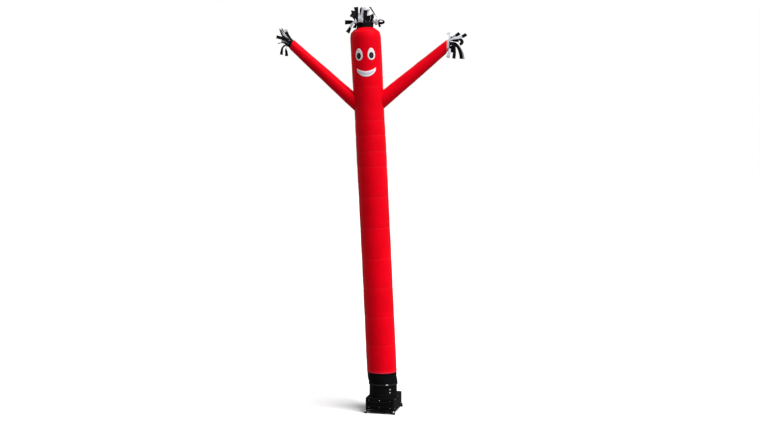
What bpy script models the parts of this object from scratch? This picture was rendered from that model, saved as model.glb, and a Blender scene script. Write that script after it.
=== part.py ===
"""Inflatable air dancer: a leaning red cloth tube with a face, two raised arms and black and white
streamers, standing on the duct of its fan blower. Metres, +Z up, front towards -Y.

Everything is placed about the duct's axis first. The last step moves the whole model so that its
origin lies under the middle of its bounding box.
"""
import math

import bmesh
import bpy
from mathutils import Matrix, Vector

# Cloth and clearances
CLOTH = 0.002
PATCH = 0.0015
GAP = 0.0003
LOOSE = 0.0008

# Trunk: heights are measured on the tube's centre line
TRUNK_SIDES = 28
TRUNK_FOOT = 0.642
LEAN_FROM = 0.573
TRUNK_RIM = 5.985
FOOT_OFFSET = -0.018
LEAN = 0.0452
LEAN_GROWTH = 0.00062
LEAN_BEGINS_OVER = 0.4
HEM_HEIGHT = 0.040
HEM_STEP = 0.0015
SEAM_DEPTH = 0.0025
PANEL_CROWN = 0.0020
CROSS_SEAMS = (1.07, 1.52, 1.98, 2.44, 2.92, 3.40, 3.88, 4.12, 4.37, 4.60, 5.12)
TRUNK_GIRTH = (
    # height, diameter
    (0.642, 0.470),
    (2.300, 0.466),
    (4.200, 0.470),
    (4.800, 0.461),
    (5.250, 0.478),
    (5.600, 0.482),
    (5.930, 0.479),
    (5.985, 0.470),
)

# Crown: a spherical cap over the rim
CROWN_RISE = 0.095
CROWN_TUCK = 0.008
CROWN_RADII = (0.10, 0.40, 0.65, 0.85, 1.00)

# Arms: where the axis leaves the trunk's side and where the red cloth ends
ARM_SIDES = 20
ARM_INSIDE = 0.16
ARM_HOLE_SLACK = 0.0045
ARM_BULGE = 0.002
ARM_STEPS = (0.0, 0.25, 0.5, 0.75, 0.9, 1.0)
SLANT_BEGINS = 0.7
ARMS = {
    # root and hand are (x, z); slant is how far the mouth's upper edge runs ahead, per radius
    "left": {"root": (-0.463, 4.922), "hand": (-1.430, 5.798), "girth": (0.214, 0.150), "slant": 0.30},
    "right": {"root": (-0.004, 4.941), "hand": (0.990, 5.765), "girth": (0.230, 0.158), "slant": 0.83},
}

# Face: bearings are degrees to the right of straight ahead
FACE_BEARING = -4.9
EYE_SPREAD = 23.6
EYE_HEIGHT = 5.627
EYE_SIZE = (0.119, 0.186)
EYE_TAPER = 0.16
PUPIL_SIZE = (0.072, 0.096)
PUPIL_DROP = 0.020
OVAL_POINTS = 20
MOUTH_SPAN = (-40.5, 33.5)
MOUTH_STEPS = 12
MOUTH_TOP = 5.364
MOUTH_DEPTH = 0.083
MOUTH_CORNER_LIFT = 0.056
MOUTH_TIP = 0.42

# Streamers
RIBBON = 0.0016
BAND = 0.003
RIBBON_STEPS = 8
ROOT_DEPTH = 0.012
HAIR_FACETS = 16
HAIR_APOTHEM = 0.132
HAIR_BAND_TOP = 0.040
HAIR_BAND_HEIGHT = 0.062
HAIR_WIDTH = (0.047, 0.066)
HAND_FACETS = 8
HAND_BAND_OUT = 0.045
HAND_BAND_IN = 0.030
HAND_WIDTH = (0.042, 0.052)
INNER_BAND = 0.030
INNER_PROUD = 0.018
TWIST_GROWTH = 1.75
# Each row is one ribbon. root is the place that it is sewn to, in degrees round the band. right, back
# and up place its tip from the band's centre. It sets off splayed outwards by lean and holds that
# heading over rise, then comes to its tip over fall, heading at arrive in the front view: 0 is to the
# right, 90 up. face turns the tip: 0 is broadside to the front, 90 edge on.
HAIR_BLACK = (
    # root, right, back, up, rise, lean, fall, arrive, face
    (0.0, 0.205, 0.015, 0.045, 0.17, 45, 0.20, 178, 40),
    (22.5, 0.069, -0.010, 0.298, 0.19, 70, 0.13, 120, 70),
    (67.5, 0.100, 0.215, 0.060, 0.12, 30, 0.06, -30, 25),
    (90.0, 0.010, 0.235, 0.085, 0.13, 25, 0.06, -70, 20),
    (112.5, -0.018, 0.090, 0.272, 0.27, 3, 0.065, -50, 82),
    (135.0, -0.190, 0.140, 0.262, 0.12, 5, 0.10, 100, 12),
    (157.5, -0.143, 0.025, 0.300, 0.12, 3, 0.10, 104, 0),
    (180.0, -0.222, 0.020, 0.186, 0.08, 25, 0.07, 145, 5),
    (202.5, -0.311, -0.035, 0.056, 0.07, 45, 0.13, 180, 0),
    (247.5, -0.160, -0.165, -0.048, 0.08, 55, 0.06, -98, 30),
    (270.0, 0.010, -0.100, 0.238, 0.08, 5, 0.08, 92, 8),
    (292.5, 0.060, -0.122, 0.152, 0.05, 5, 0.04, 88, 0),
    (315.0, 0.104, -0.095, 0.172, 0.06, 4, 0.05, 125, 25),
    (337.5, 0.236, -0.060, -0.018, 0.07, 55, 0.06, -66, 60),
)
HAIR_WHITE = (
    # root, right, back, up, rise, lean, fall, arrive, face
    (45.0, 0.225, 0.145, 0.085, 0.08, 20, 0.06, -20, 30),
    (67.5, 0.100, 0.150, 0.140, 0.07, 5, 0.05, 60, 30),
    (90.0, -0.045, 0.150, 0.160, 0.08, 8, 0.05, 110, 30),
    (135.0, -0.120, 0.090, 0.215, 0.10, -6, 0.06, 115, 15),
    (225.0, -0.270, -0.125, -0.112, 0.13, 60, 0.09, -125, 8),
    (247.5, -0.014, -0.060, 0.286, 0.08, 3, 0.12, 80, 12),
    (292.5, 0.058, -0.030, 0.262, 0.09, 0, 0.08, 66, 55),
    (337.5, 0.175, -0.120, 0.004, 0.08, 40, 0.09, -94, 60),
)
LEFT_BLACK = (
    # root, right, back, up, rise, lean, fall, arrive, face
    (0, -0.150, -0.040, 0.245, 0.09, 4, 0.08, 115, 62),
    (45, -0.130, 0.110, 0.120, 0.06, 15, 0.05, 150, 25),
    (90, -0.198, 0.075, 0.253, 0.09, 8, 0.11, 107, 80),
    (135, -0.171, 0.050, -0.156, 0.12, 22, 0.08, -97, 20),
    (180, -0.082, 0.005, -0.181, 0.06, 25, 0.11, -86, 10),
    (225, -0.209, -0.060, 0.008, 0.05, 15, 0.08, 204, 72),
    (270, -0.232, -0.075, 0.110, 0.05, 10, 0.09, 171, 8),
    (315, -0.088, -0.080, 0.182, 0.05, 5, 0.06, 126, 5),
)
LEFT_WHITE = (
    # root, right, back, up, rise, lean, fall, arrive, face
    (45, -0.105, 0.045, 0.240, 0.07, 0, 0.08, 122, 5),
    (90, -0.165, 0.040, 0.045, 0.05, 0, 0.05, 190, 20),
    (225, -0.095, -0.035, 0.045, 0.03, -5, 0.02, 150, 30),
    (315, -0.168, -0.030, 0.226, 0.06, -4, 0.10, 112, 76),
)
RIGHT_BLACK = (
    # root, right, back, up, rise, lean, fall, arrive, face
    (0, 0.085, -0.005, 0.150, 0.04, 0, 0.02, 45, 20),
    (45, 0.190, 0.030, 0.100, 0.06, 0, 0.05, 20, 20),
    (90, 0.235, 0.060, -0.185, 0.15, 0, 0.12, -88, 10),
    (135, 0.165, 0.035, 0.020, 0.06, 0, 0.05, 0, 20),
    (225, 0.078, -0.030, -0.095, 0.07, 5, 0.07, -98, 20),
    (270, 0.107, -0.080, -0.193, 0.10, 0, 0.12, -101, 8),
    (315, 0.200, -0.050, 0.030, 0.12, 0, 0.13, 205, 35),
)
RIGHT_WHITE = (
    # root, right, back, up, rise, lean, fall, arrive, face
    (0, 0.026, 0.000, 0.217, 0.06, 18, 0.06, 96, 12),
    (45, 0.207, 0.060, 0.213, 0.08, 6, 0.08, 34, 8),
    (90, 0.266, 0.090, -0.185, 0.18, 6, 0.12, -84, 12),
    (225, 0.014, -0.100, -0.181, 0.05, 30, 0.10, -104, 10),
    (315, 0.302, -0.065, 0.186, 0.09, 4, 0.10, 44, 10),
)

# Blower: duct, flange and sleeve
DUCT_RADIUS = 0.219
DUCT_WALL = 0.0025
DUCT_TOP = 0.475
DUCT_SIDES = 32
FLANGE_RADIUS = 0.2255
FLANGE_THICK = 0.009
SLEEVE_SIDES = 48
SLEEVE_FOLDS = 12
SLEEVE_FOLD = 0.0012
SLEEVE_CENTRED = 0.560
SLEEVE_ROWS = (
    # height, radius, share of the fold depth
    (0.436, 0.2260, 1.0),
    (0.470, 0.2265, 1.0),
    (0.505, 0.2300, 0.6),
    (0.560, 0.2310, 0.3),
    (0.600, 0.2310, 0.3),
    (0.664, 0.2308, 0.1),
)
STRAP_BOTTOM = 0.441
STRAP_WIDTH = 0.025
STRAP_THICK = 0.002
BUCKLE_BEARING = 14.0
BUCKLE = (0.056, 0.012, 0.034)
LATCH_BEARING = 28.3
LATCH_HEIGHT = 0.355
LATCH_PLATE = (0.046, 0.003, 0.104)
LATCH_SCREW_RADIUS = 0.010
LATCH_SCREW_HEIGHT = 0.007
LATCH_SCREW_PITCH = 0.049

# Blower: housing and skid frame, square to each other and turned together
BLOWER_YAW = -13.5
BLOWER_SIDE = -0.004
BLOWER_BACK = 0.062
HOUSING = (0.462, 0.600)
HOUSING_BOTTOM = 0.062
HOUSING_TOP = 0.250
SHEET = 0.0025
CORNER = 0.028
OUTLET_RADIUS = 0.205
WINDOW = (0.344, 0.112)
WINDOW_MIDDLE = 0.160
LOUVRE_RIM = 0.014
LOUVRE_THICK = 0.004
BLADES = 3
BLADE_DEPTH = 0.034
BLADE_TILT = -38.0
TUBE_RADIUS = 0.0125
RAIL_SPREAD = 0.457
RAIL_LENGTH = 0.610
CROSSBAR_INSET = 0.002
FOOT_RADIUS = 0.022
FOOT_HEIGHT = 0.030
FOOT_INSET = 0.022
CAP_THICK = 0.008
BLOCK = (0.022, 0.040)
BLOCK_INSET = 0.090
GLAND_RADIUS = 0.013
GLAND_LENGTH = 0.022
GLAND_HEIGHT = 0.130

RED = (0.78, 0.010, 0.020)
BLACK = (0.012, 0.012, 0.014)
WHITE = (0.86, 0.86, 0.88)


def clear_scene():
    for item in list(bpy.data.objects):
        bpy.data.objects.remove(item, do_unlink=True)


def finish(name, colour, roughness, metallic=0.0):
    material = bpy.data.materials.new(name)
    material.use_nodes = True
    shader = material.node_tree.nodes["Principled BSDF"]
    shader.inputs["Base Color"].default_value = (*colour, 1.0)
    shader.inputs["Roughness"].default_value = roughness
    shader.inputs["Metallic"].default_value = metallic
    material.diffuse_color = (*colour, 1.0)
    return material


def add_object(name, form, material, smooth_below=35.0):
    """Turns a bmesh into a named object under the model's frame."""
    bmesh.ops.recalc_face_normals(form, faces=form.faces)
    mesh = bpy.data.meshes.new(name)
    form.to_mesh(mesh)
    form.free()
    mesh.shade_smooth()
    mesh.set_sharp_from_angle(angle=math.radians(smooth_below))
    mesh.materials.append(material)
    item = bpy.data.objects.new(name, mesh)
    bpy.context.scene.collection.objects.link(item)
    item.parent = MODEL
    return item


def loft_form(rings, closed):
    """Skins a row of point rings; closed joins the last ring to the first, else both ends are capped."""
    form = bmesh.new()
    loops = [[form.verts.new(point) for point in ring] for ring in rings]
    pairs = list(zip(loops, loops[1:]))
    if closed:
        pairs.append((loops[-1], loops[0]))
    for lower, upper in pairs:
        for here in range(len(lower)):
            there = (here + 1) % len(lower)
            form.faces.new((lower[here], lower[there], upper[there], upper[here]))
    if not closed:
        form.faces.new(loops[0][::-1])
        form.faces.new(loops[-1])
    return form


def loft(name, rings, closed, material):
    return add_object(name, loft_form(rings, closed), material)


def cutter(item):
    """Marks a helper for a Boolean, which is not a piece of the part."""
    item.hide_render = True
    item.display_type = "WIRE"
    return item


def boolean(item, tool, operation):
    step = item.modifiers.new(operation.title(), "BOOLEAN")
    step.operation = operation
    step.object = cutter(tool)
    step.solver = "EXACT"


def between(rows, at):
    """Straight-line reading of a table of (position, value)."""
    for (low, first), (high, second) in zip(rows, rows[1:]):
        if at <= high:
            return first + (second - first) * (at - low) / (high - low)
    return rows[-1][1]


def round_angles(count, offset=0.0):
    return [2 * math.pi * (step + offset) / count for step in range(count)]


# Trunk


def trunk_centre(height):
    above = max(0.0, height - LEAN_FROM)
    return FOOT_OFFSET - LEAN * above - LEAN_GROWTH * above * above


def trunk_tilt(height):
    """Angle of the tube's section, level at the foot and square to the leaning axis above."""
    slope = LEAN + 2 * LEAN_GROWTH * max(0.0, height - LEAN_FROM)
    return math.atan(slope) * min(1.0, max(0.0, height - TRUNK_FOOT) / LEAN_BEGINS_OVER)


def trunk_rows():
    """(height, radius) of every ring: drawn in at each seam, full between seams."""
    rows = []
    hem_top = TRUNK_FOOT + HEM_HEIGHT
    rows.append((TRUNK_FOOT, HEM_STEP))
    rows.append((hem_top, HEM_STEP))
    rows.append((hem_top + HEM_STEP * 4, 0.0))
    previous = hem_top
    for seam in CROSS_SEAMS:
        rows.append(((previous + seam) / 2, PANEL_CROWN))
        rows.append((seam, -SEAM_DEPTH))
        previous = seam
    for height, _ in TRUNK_GIRTH[-3:]:
        rows.append((height, 0.0))
    return [(height, between(TRUNK_GIRTH, height) / 2 + swell) for height, swell in rows]


TRUNK_ROWS = trunk_rows()


def on_trunk(angle, height, proud=0.0):
    """Point on the trunk's outer face; angle 0 is to the right and 270 degrees is the front."""
    radius = between(TRUNK_ROWS, height) + proud
    tilt = trunk_tilt(height)
    across = radius * math.cos(angle)
    return Vector(
        (
            trunk_centre(height) + across * math.cos(tilt),
            radius * math.sin(angle),
            height + across * math.sin(tilt),
        )
    )


def trunk_ring(height, proud):
    return [on_trunk(angle, height, proud) for angle in round_angles(TRUNK_SIDES)]


def build_trunk(material):
    outer = [trunk_ring(height, 0.0) for height, _ in TRUNK_ROWS]
    inner = [trunk_ring(height, -CLOTH) for height, _ in TRUNK_ROWS]
    return loft("trunk", outer + inner[::-1], True, material)


def build_crown(material):
    """A cap whose edge is tucked inside the trunk's rim."""
    edge = between(TRUNK_ROWS, TRUNK_RIM) - CLOTH - LOOSE
    ball = (edge * edge + CROWN_RISE * CROWN_RISE) / (2 * CROWN_RISE)
    tilt = trunk_tilt(TRUNK_RIM)
    centre = trunk_centre(TRUNK_RIM)

    def ring(share, inset):
        flat = edge * share
        rise = math.sqrt((ball - inset) ** 2 - (flat * (ball - inset) / ball) ** 2) - (ball - CROWN_RISE)
        flat *= (ball - inset) / ball
        points = []
        for angle in round_angles(TRUNK_SIDES):
            across = flat * math.cos(angle)
            points.append(
                Vector(
                    (
                        centre + across * math.cos(tilt) - rise * math.sin(tilt),
                        flat * math.sin(angle),
                        TRUNK_RIM + across * math.sin(tilt) + rise * math.cos(tilt),
                    )
                )
            )
        return points

    outer = [ring(share, 0.0) for share in CROWN_RADII]
    inner = [ring(share, CLOTH) for share in CROWN_RADII]
    skirt = [point - Vector((0, 0, CROWN_TUCK)) for point in outer[-1]]
    skirt_inner = [point - Vector((0, 0, CROWN_TUCK)) for point in inner[-1]]
    return loft("crown", outer + [skirt, skirt_inner] + inner[::-1], False, material)


# Arms


def arm_frame(side):
    """Root, axis, length and the direction across the axis that points up."""
    arm = ARMS[side]
    root = Vector((arm["root"][0], 0.0, arm["root"][1]))
    hand = Vector((arm["hand"][0], 0.0, arm["hand"][1]))
    axis = (hand - root).normalized()
    up = Vector((-axis.z, 0.0, axis.x)) if axis.x > 0 else Vector((axis.z, 0.0, -axis.x))
    return root, axis, (hand - root).length, up


def arm_ring(side, share, inset, sides=ARM_SIDES, offset=0.0):
    """Ring of the arm at a share of its length; below 0 it lies inside the trunk."""
    root, axis, length, up = arm_frame(side)
    arm = ARMS[side]
    girth = arm["girth"]
    radius = (girth[0] + (girth[1] - girth[0]) * max(0.0, share)) / 2
    radius += ARM_BULGE * math.sin(math.pi * min(1.0, max(0.0, share))) - inset
    ahead = min(1.0, max(0.0, (share - SLANT_BEGINS) / (1 - SLANT_BEGINS)))
    slant = arm["slant"] * ahead * ahead * (3 - 2 * ahead)
    centre = root + axis * length * share
    back = Vector((0, 1, 0))
    points = []
    for angle in round_angles(sides, offset):
        lift = radius * math.cos(angle)
        points.append(centre + up * lift + back * radius * math.sin(angle) + axis * slant * lift)
    return points


def build_arm(side, material):
    _, _, length, _ = arm_frame(side)
    shares = (-ARM_INSIDE / length,) + ARM_STEPS
    outer = [arm_ring(side, share, 0.0) for share in shares]
    inner = [arm_ring(side, share, CLOTH) for share in shares]
    arm = loft(f"arm_{side}", outer + inner[::-1], True, material)
    low = ARMS[side]["root"][1] - 0.5
    heights = [low] + [height for height, _ in TRUNK_ROWS if low < height < low + 1.0] + [low + 1.0]
    envelope = [trunk_ring(height, GAP) for height in heights]
    boolean(arm, loft(f"trunk_envelope_{side}", envelope, False, material), "DIFFERENCE")
    return arm


def cut_arm_hole(trunk, side, material):
    _, _, length, _ = arm_frame(side)
    reach = ARM_INSIDE / length
    ends = [arm_ring(side, share, CLOTH + ARM_HOLE_SLACK) for share in (-reach, reach)]
    boolean(trunk, loft(f"arm_hole_{side}", ends, False, material), "DIFFERENCE")


# Face


def oval_outline(width, height, taper):
    """Upright oval, narrower at the top by taper."""
    outline = []
    for angle in round_angles(OVAL_POINTS):
        up = math.sin(angle)
        outline.append((math.cos(angle) * (1 - taper * up) * width / 2, up * height / 2))
    return outline


def face_angle(bearing):
    return math.radians(270.0 + FACE_BEARING + bearing)


def build_oval(name, bearing, height, size, taper, proud, material):
    """Oval patch lying on the trunk's face, proud of it by its own thickness."""
    radius = between(TRUNK_ROWS, height)
    outline = oval_outline(*size, taper)

    def ring(share, lift):
        return [
            on_trunk(face_angle(bearing) + across * share / radius, height + up * share, lift)
            for across, up in outline
        ]

    shares = (0.15, 0.6, 1.0)
    top = [ring(share, proud + PATCH) for share in shares]
    under = [ring(share, proud) for share in shares]
    return loft(name, top + under[::-1], False, material)


def build_mouth(material):
    """Smiling crescent with blunt tips, its corners lifted."""
    sections = []
    low, high = MOUTH_SPAN
    for step in range(MOUTH_STEPS + 1):
        share = 2 * step / MOUTH_STEPS - 1
        bearing = (low + high) / 2 + share * (high - low) / 2
        angle = math.radians(270.0 + bearing)
        upper = MOUTH_TOP + MOUTH_CORNER_LIFT * share * share
        depth = MOUTH_DEPTH * (MOUTH_TIP + (1 - MOUTH_TIP) * math.sqrt(max(0.0, 1 - share * share)))
        lower = upper - depth
        sections.append(
            [
                on_trunk(angle, lower, LOOSE),
                on_trunk(angle, upper, LOOSE),
                on_trunk(angle, upper, LOOSE + PATCH),
                on_trunk(angle, lower, LOOSE + PATCH),
            ]
        )
    return loft("mouth", sections, False, material)


def build_face(white, black):
    for side, sign in (("left", -1), ("right", 1)):
        bearing = sign * EYE_SPREAD
        build_oval(f"eye_{side}", bearing, EYE_HEIGHT, EYE_SIZE, EYE_TAPER, LOOSE, white)
        pupil_proud = LOOSE + PATCH + GAP * 2
        build_oval(f"pupil_{side}", bearing, EYE_HEIGHT - PUPIL_DROP, PUPIL_SIZE, 0.0, pupil_proud, black)
    build_mouth(white)


# Streamers


def ribbon_rings(path, flat, face, widths):
    """Sections of one ribbon along a cubic path of four points, twisting to its face."""
    start, leave, come, tip = path
    centres = []
    headings = []
    for step in range(RIBBON_STEPS + 1):
        share = step / RIBBON_STEPS
        near = 1 - share
        centres.append(
            start * near**3 + leave * 3 * near * near * share + come * 3 * near * share * share + tip * share**3
        )
        heading = (leave - start) * near * near + (come - leave) * 2 * near * share + (tip - come) * share * share
        headings.append(heading.normalized())
    across = [flat]
    for before, after in zip(headings, headings[1:]):
        carried = before.rotation_difference(after) @ across[-1]
        across.append((carried - after * carried.dot(after)).normalized())
    last = headings[-1]
    broadside = last.cross(Vector((0, -1, 0))).normalized()
    wanted = Matrix.Rotation(math.radians(face), 3, last) @ broadside
    twist = math.atan2(across[-1].cross(wanted).dot(last), across[-1].dot(wanted))
    twist = (twist + math.pi / 2) % math.pi - math.pi / 2
    rings = []
    for step, (centre, heading, side) in enumerate(zip(centres, headings, across)):
        share = step / RIBBON_STEPS
        side = Matrix.Rotation(twist * share**TWIST_GROWTH, 3, heading) @ side
        out = heading.cross(side) * RIBBON / 2
        half = side * (widths[0] + (widths[1] - widths[0]) * share) / 2
        rings.append([centre - half - out, centre + half - out, centre + half + out, centre - half + out])
    return rings


def ribbon_skin(rings):
    """Closed skin of a twisted ribbon; both broad faces fold along the same diagonals, so it keeps its thickness."""
    form = bmesh.new()
    loops = [[form.verts.new(point) for point in ring] for ring in rings]
    for lower, upper in zip(loops, loops[1:]):
        for here, there in ((0, 1), (3, 2)):
            form.faces.new((lower[here], lower[there], upper[there]))
            form.faces.new((lower[here], upper[there], upper[here]))
        for here, there in ((1, 2), (3, 0)):
            form.faces.new((lower[here], lower[there], upper[there], upper[here]))
    form.faces.new(loops[0])
    form.faces.new(loops[-1])
    bmesh.ops.recalc_face_normals(form, faces=form.faces)
    return form


def band_ring(frame, apothem, along, facets):
    """Ring of a many-sided band, its flats facing the ribbon roots."""
    centre, axis, up, back, slant = frame
    radius = apothem / math.cos(math.pi / facets)
    points = []
    for angle in round_angles(facets, 0.5):
        lift = radius * math.cos(angle)
        points.append(centre + axis * (along + slant * lift) + up * lift + back * radius * math.sin(angle))
    return points


def ribbon_form(frame, row, apothem, top, widths):
    """One ribbon, its root standing in the thickness of its band."""
    centre, axis, up, back, slant = frame
    root, right, behind, above, rise, lean, fall, arrive, face = row
    angle = math.radians(root)
    outward = up * math.cos(angle) + back * math.sin(angle)
    flat = back * math.cos(angle) - up * math.sin(angle)
    middle = apothem - BAND / 2
    along = top - ROOT_DEPTH + slant * middle * math.cos(angle)
    start = centre + outward * middle + axis * along
    splay = math.radians(lean)
    launch = axis * math.cos(splay) + outward * math.sin(splay)
    tip = centre + Vector((right, behind, above))
    coming = math.radians(arrive)
    come = tip - Vector((math.cos(coming), 0.0, math.sin(coming))) * fall
    return ribbon_skin(ribbon_rings((start, start + launch * rise, come, tip), flat, face, widths))


def build_tuft(name, rows, frame, apothem, span, facets, widths, material):
    """A band with its ribbons grown out of its top edge."""
    low, high = span
    outer = [band_ring(frame, apothem, along, facets) for along in (low, high)]
    inner = [band_ring(frame, apothem - BAND, along, facets) for along in (high, low)]
    band = loft(name, outer + inner, True, material)
    ribbons = bmesh.new()
    for row in rows:
        form = ribbon_form(frame, row, apothem, high, widths)
        mesh = bpy.data.meshes.new("ribbon")
        form.to_mesh(mesh)
        form.free()
        ribbons.from_mesh(mesh)
    boolean(band, add_object(f"{name}_ribbons", ribbons, material), "UNION")
    return band


def tuft_plans():
    """Name, rows, frame, apothem, span, facets and ribbon widths of every tuft."""
    tilt = trunk_tilt(TRUNK_RIM)
    right = Vector((math.cos(tilt), 0, math.sin(tilt)))
    axis = Vector((-math.sin(tilt), 0, math.cos(tilt)))
    back = Vector((0, 1, 0))
    top = Vector((trunk_centre(TRUNK_RIM), 0, TRUNK_RIM)) + axis * CROWN_RISE
    frame = (top, axis, right, back, 0.0)
    plans = []

    def plan_pair(outer, inner, frame, apothem, low, high, facets, widths):
        """The outer band lies against the cloth; the inner one stands proud of it."""
        plans.append((*outer, frame, apothem, (low, high), facets, widths))
        top = high + INNER_PROUD
        plans.append((*inner, frame, apothem - BAND - GAP, (top - INNER_BAND, top), facets, widths))

    low = HAIR_BAND_TOP - HAIR_BAND_HEIGHT
    dark = ("hair_black", HAIR_BLACK)
    light = ("hair_white", HAIR_WHITE)
    plan_pair(dark, light, frame, HAIR_APOTHEM, low, HAIR_BAND_TOP, HAIR_FACETS, HAIR_WIDTH)
    for side, outer, inner in (
        ("left", ("hand_left_black", LEFT_BLACK), ("hand_left_white", LEFT_WHITE)),
        ("right", ("hand_right_white", RIGHT_WHITE), ("hand_right_black", RIGHT_BLACK)),
    ):
        root, axis, length, up = arm_frame(side)
        frame = (root + axis * length, axis, up, back, ARMS[side]["slant"])
        apothem = (ARMS[side]["girth"][1] / 2 - CLOTH - LOOSE * 3) * math.cos(math.pi / HAND_FACETS)
        plan_pair(outer, inner, frame, apothem, -HAND_BAND_IN, HAND_BAND_OUT, HAND_FACETS, HAND_WIDTH)
    return plans


def build_streamers(black, white):
    for plan in tuft_plans():
        build_tuft(*plan, black if plan[0].endswith("black") else white)


# Blower


def level_ring(radius, height, sides, middle=0.0, waves=0, depth=0.0):
    """Level ring about the duct's axis, or off it to the side by middle, with evenly spaced folds."""
    points = []
    for angle in round_angles(sides):
        reach = radius + depth * math.sin(waves * angle)
        points.append(Vector((middle + reach * math.cos(angle), reach * math.sin(angle), height)))
    return points


def pipe(name, outer, inner, low, high, sides, material):
    rings = [level_ring(outer, low, sides), level_ring(outer, high, sides)]
    rings += [level_ring(inner, high, sides), level_ring(inner, low, sides)]
    return loft(name, rings, True, material)


def build_sleeve(material):
    def ring(row, inset):
        height, radius, share = row
        middle = trunk_centre(height) * min(1.0, max(0.0, height - DUCT_TOP) / (SLEEVE_CENTRED - DUCT_TOP))
        return level_ring(radius - inset, height, SLEEVE_SIDES, middle, SLEEVE_FOLDS, SLEEVE_FOLD * share)

    outer = [ring(row, 0.0) for row in SLEEVE_ROWS]
    inner = [ring(row, CLOTH) for row in SLEEVE_ROWS]
    return loft("sleeve", outer + inner[::-1], True, material)


def box_object(name, size, centre, material, bevel=0.0, yaw=0.0):
    """Box with its own centre as origin and an optional rounded edge."""
    form = bmesh.new()
    bmesh.ops.create_cube(form, size=1.0, matrix=Matrix.Diagonal((*size, 1.0)))
    if bevel:
        bmesh.ops.bevel(
            form, geom=form.edges[:], offset=bevel, segments=2, profile=0.5, affect="EDGES", clamp_overlap=True
        )
    item = add_object(name, form, material)
    item.location = centre
    item.rotation_euler.z = yaw
    return item


def rod_object(name, radius, length, centre, axis, material, sides=16, bevel=0.0):
    """Round bar along axis, centred on centre, with optional rounded ends."""
    form = bmesh.new()
    bmesh.ops.create_cone(form, cap_ends=True, segments=sides, radius1=radius, radius2=radius, depth=length)
    if bevel:
        rims = [edge for edge in form.edges if abs(edge.verts[0].co.z - edge.verts[1].co.z) < GAP]
        bmesh.ops.bevel(form, geom=rims, offset=bevel, segments=2, profile=0.5, affect="EDGES")
    item = add_object(name, form, material)
    item.location = centre
    item.rotation_mode = "QUATERNION"
    item.rotation_quaternion = Vector((0, 0, 1)).rotation_difference(axis)
    return item


def facing(bearing):
    """Outward direction of a bearing, and the turn about Z that faces a piece along it."""
    angle = math.radians(270.0 + bearing)
    return Vector((math.cos(angle), math.sin(angle), 0.0)), math.radians(bearing)


def build_duct(metal, webbing, hardware, bright, cloth):
    low = HOUSING_TOP + GAP
    pipe("duct", DUCT_RADIUS, DUCT_RADIUS - DUCT_WALL, low, DUCT_TOP, DUCT_SIDES, metal)
    flange_inner = (DUCT_RADIUS + GAP) / math.cos(math.pi / DUCT_SIDES)
    pipe("flange", FLANGE_RADIUS, flange_inner, low, low + FLANGE_THICK, DUCT_SIDES, metal)
    build_sleeve(cloth)
    belt = (SLEEVE_ROWS[0][1] + SLEEVE_FOLD + GAP) / math.cos(math.pi / SLEEVE_SIDES)
    pipe("strap", belt + STRAP_THICK, belt, STRAP_BOTTOM, STRAP_BOTTOM + STRAP_WIDTH, SLEEVE_SIDES, webbing)
    outward, turn = facing(BUCKLE_BEARING)
    reach = belt + STRAP_THICK + GAP + BUCKLE[1] / 2
    centre = outward * reach + Vector((0, 0, STRAP_BOTTOM + STRAP_WIDTH / 2))
    box_object("buckle", BUCKLE, centre, hardware, 0.003, turn)
    outward, turn = facing(LATCH_BEARING)
    reach = DUCT_RADIUS + GAP + LATCH_PLATE[1] / 2
    box_object("latch_plate", LATCH_PLATE, outward * reach + Vector((0, 0, LATCH_HEIGHT)), hardware, 0.001, turn)
    reach = DUCT_RADIUS + GAP * 2 + LATCH_PLATE[1] + LATCH_SCREW_HEIGHT / 2
    for place, sign in (("upper", 1), ("lower", -1)):
        centre = outward * reach + Vector((0, 0, LATCH_HEIGHT + sign * LATCH_SCREW_PITCH / 2))
        rod_object(
            f"latch_screw_{place}", LATCH_SCREW_RADIUS, LATCH_SCREW_HEIGHT, centre, outward, bright, 16, 0.0025
        )


def blower_place(across, along, height):
    """World place of a point given in the turned blower's own directions."""
    level = Vector((across + BLOWER_SIDE, along + BLOWER_BACK, 0))
    turned = Matrix.Rotation(math.radians(BLOWER_YAW), 3, "Z") @ level
    return Vector((turned.x, turned.y, height))


def blower_axis(across, along):
    return (Matrix.Rotation(math.radians(BLOWER_YAW), 3, "Z") @ Vector((across, along, 0))).normalized()


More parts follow.
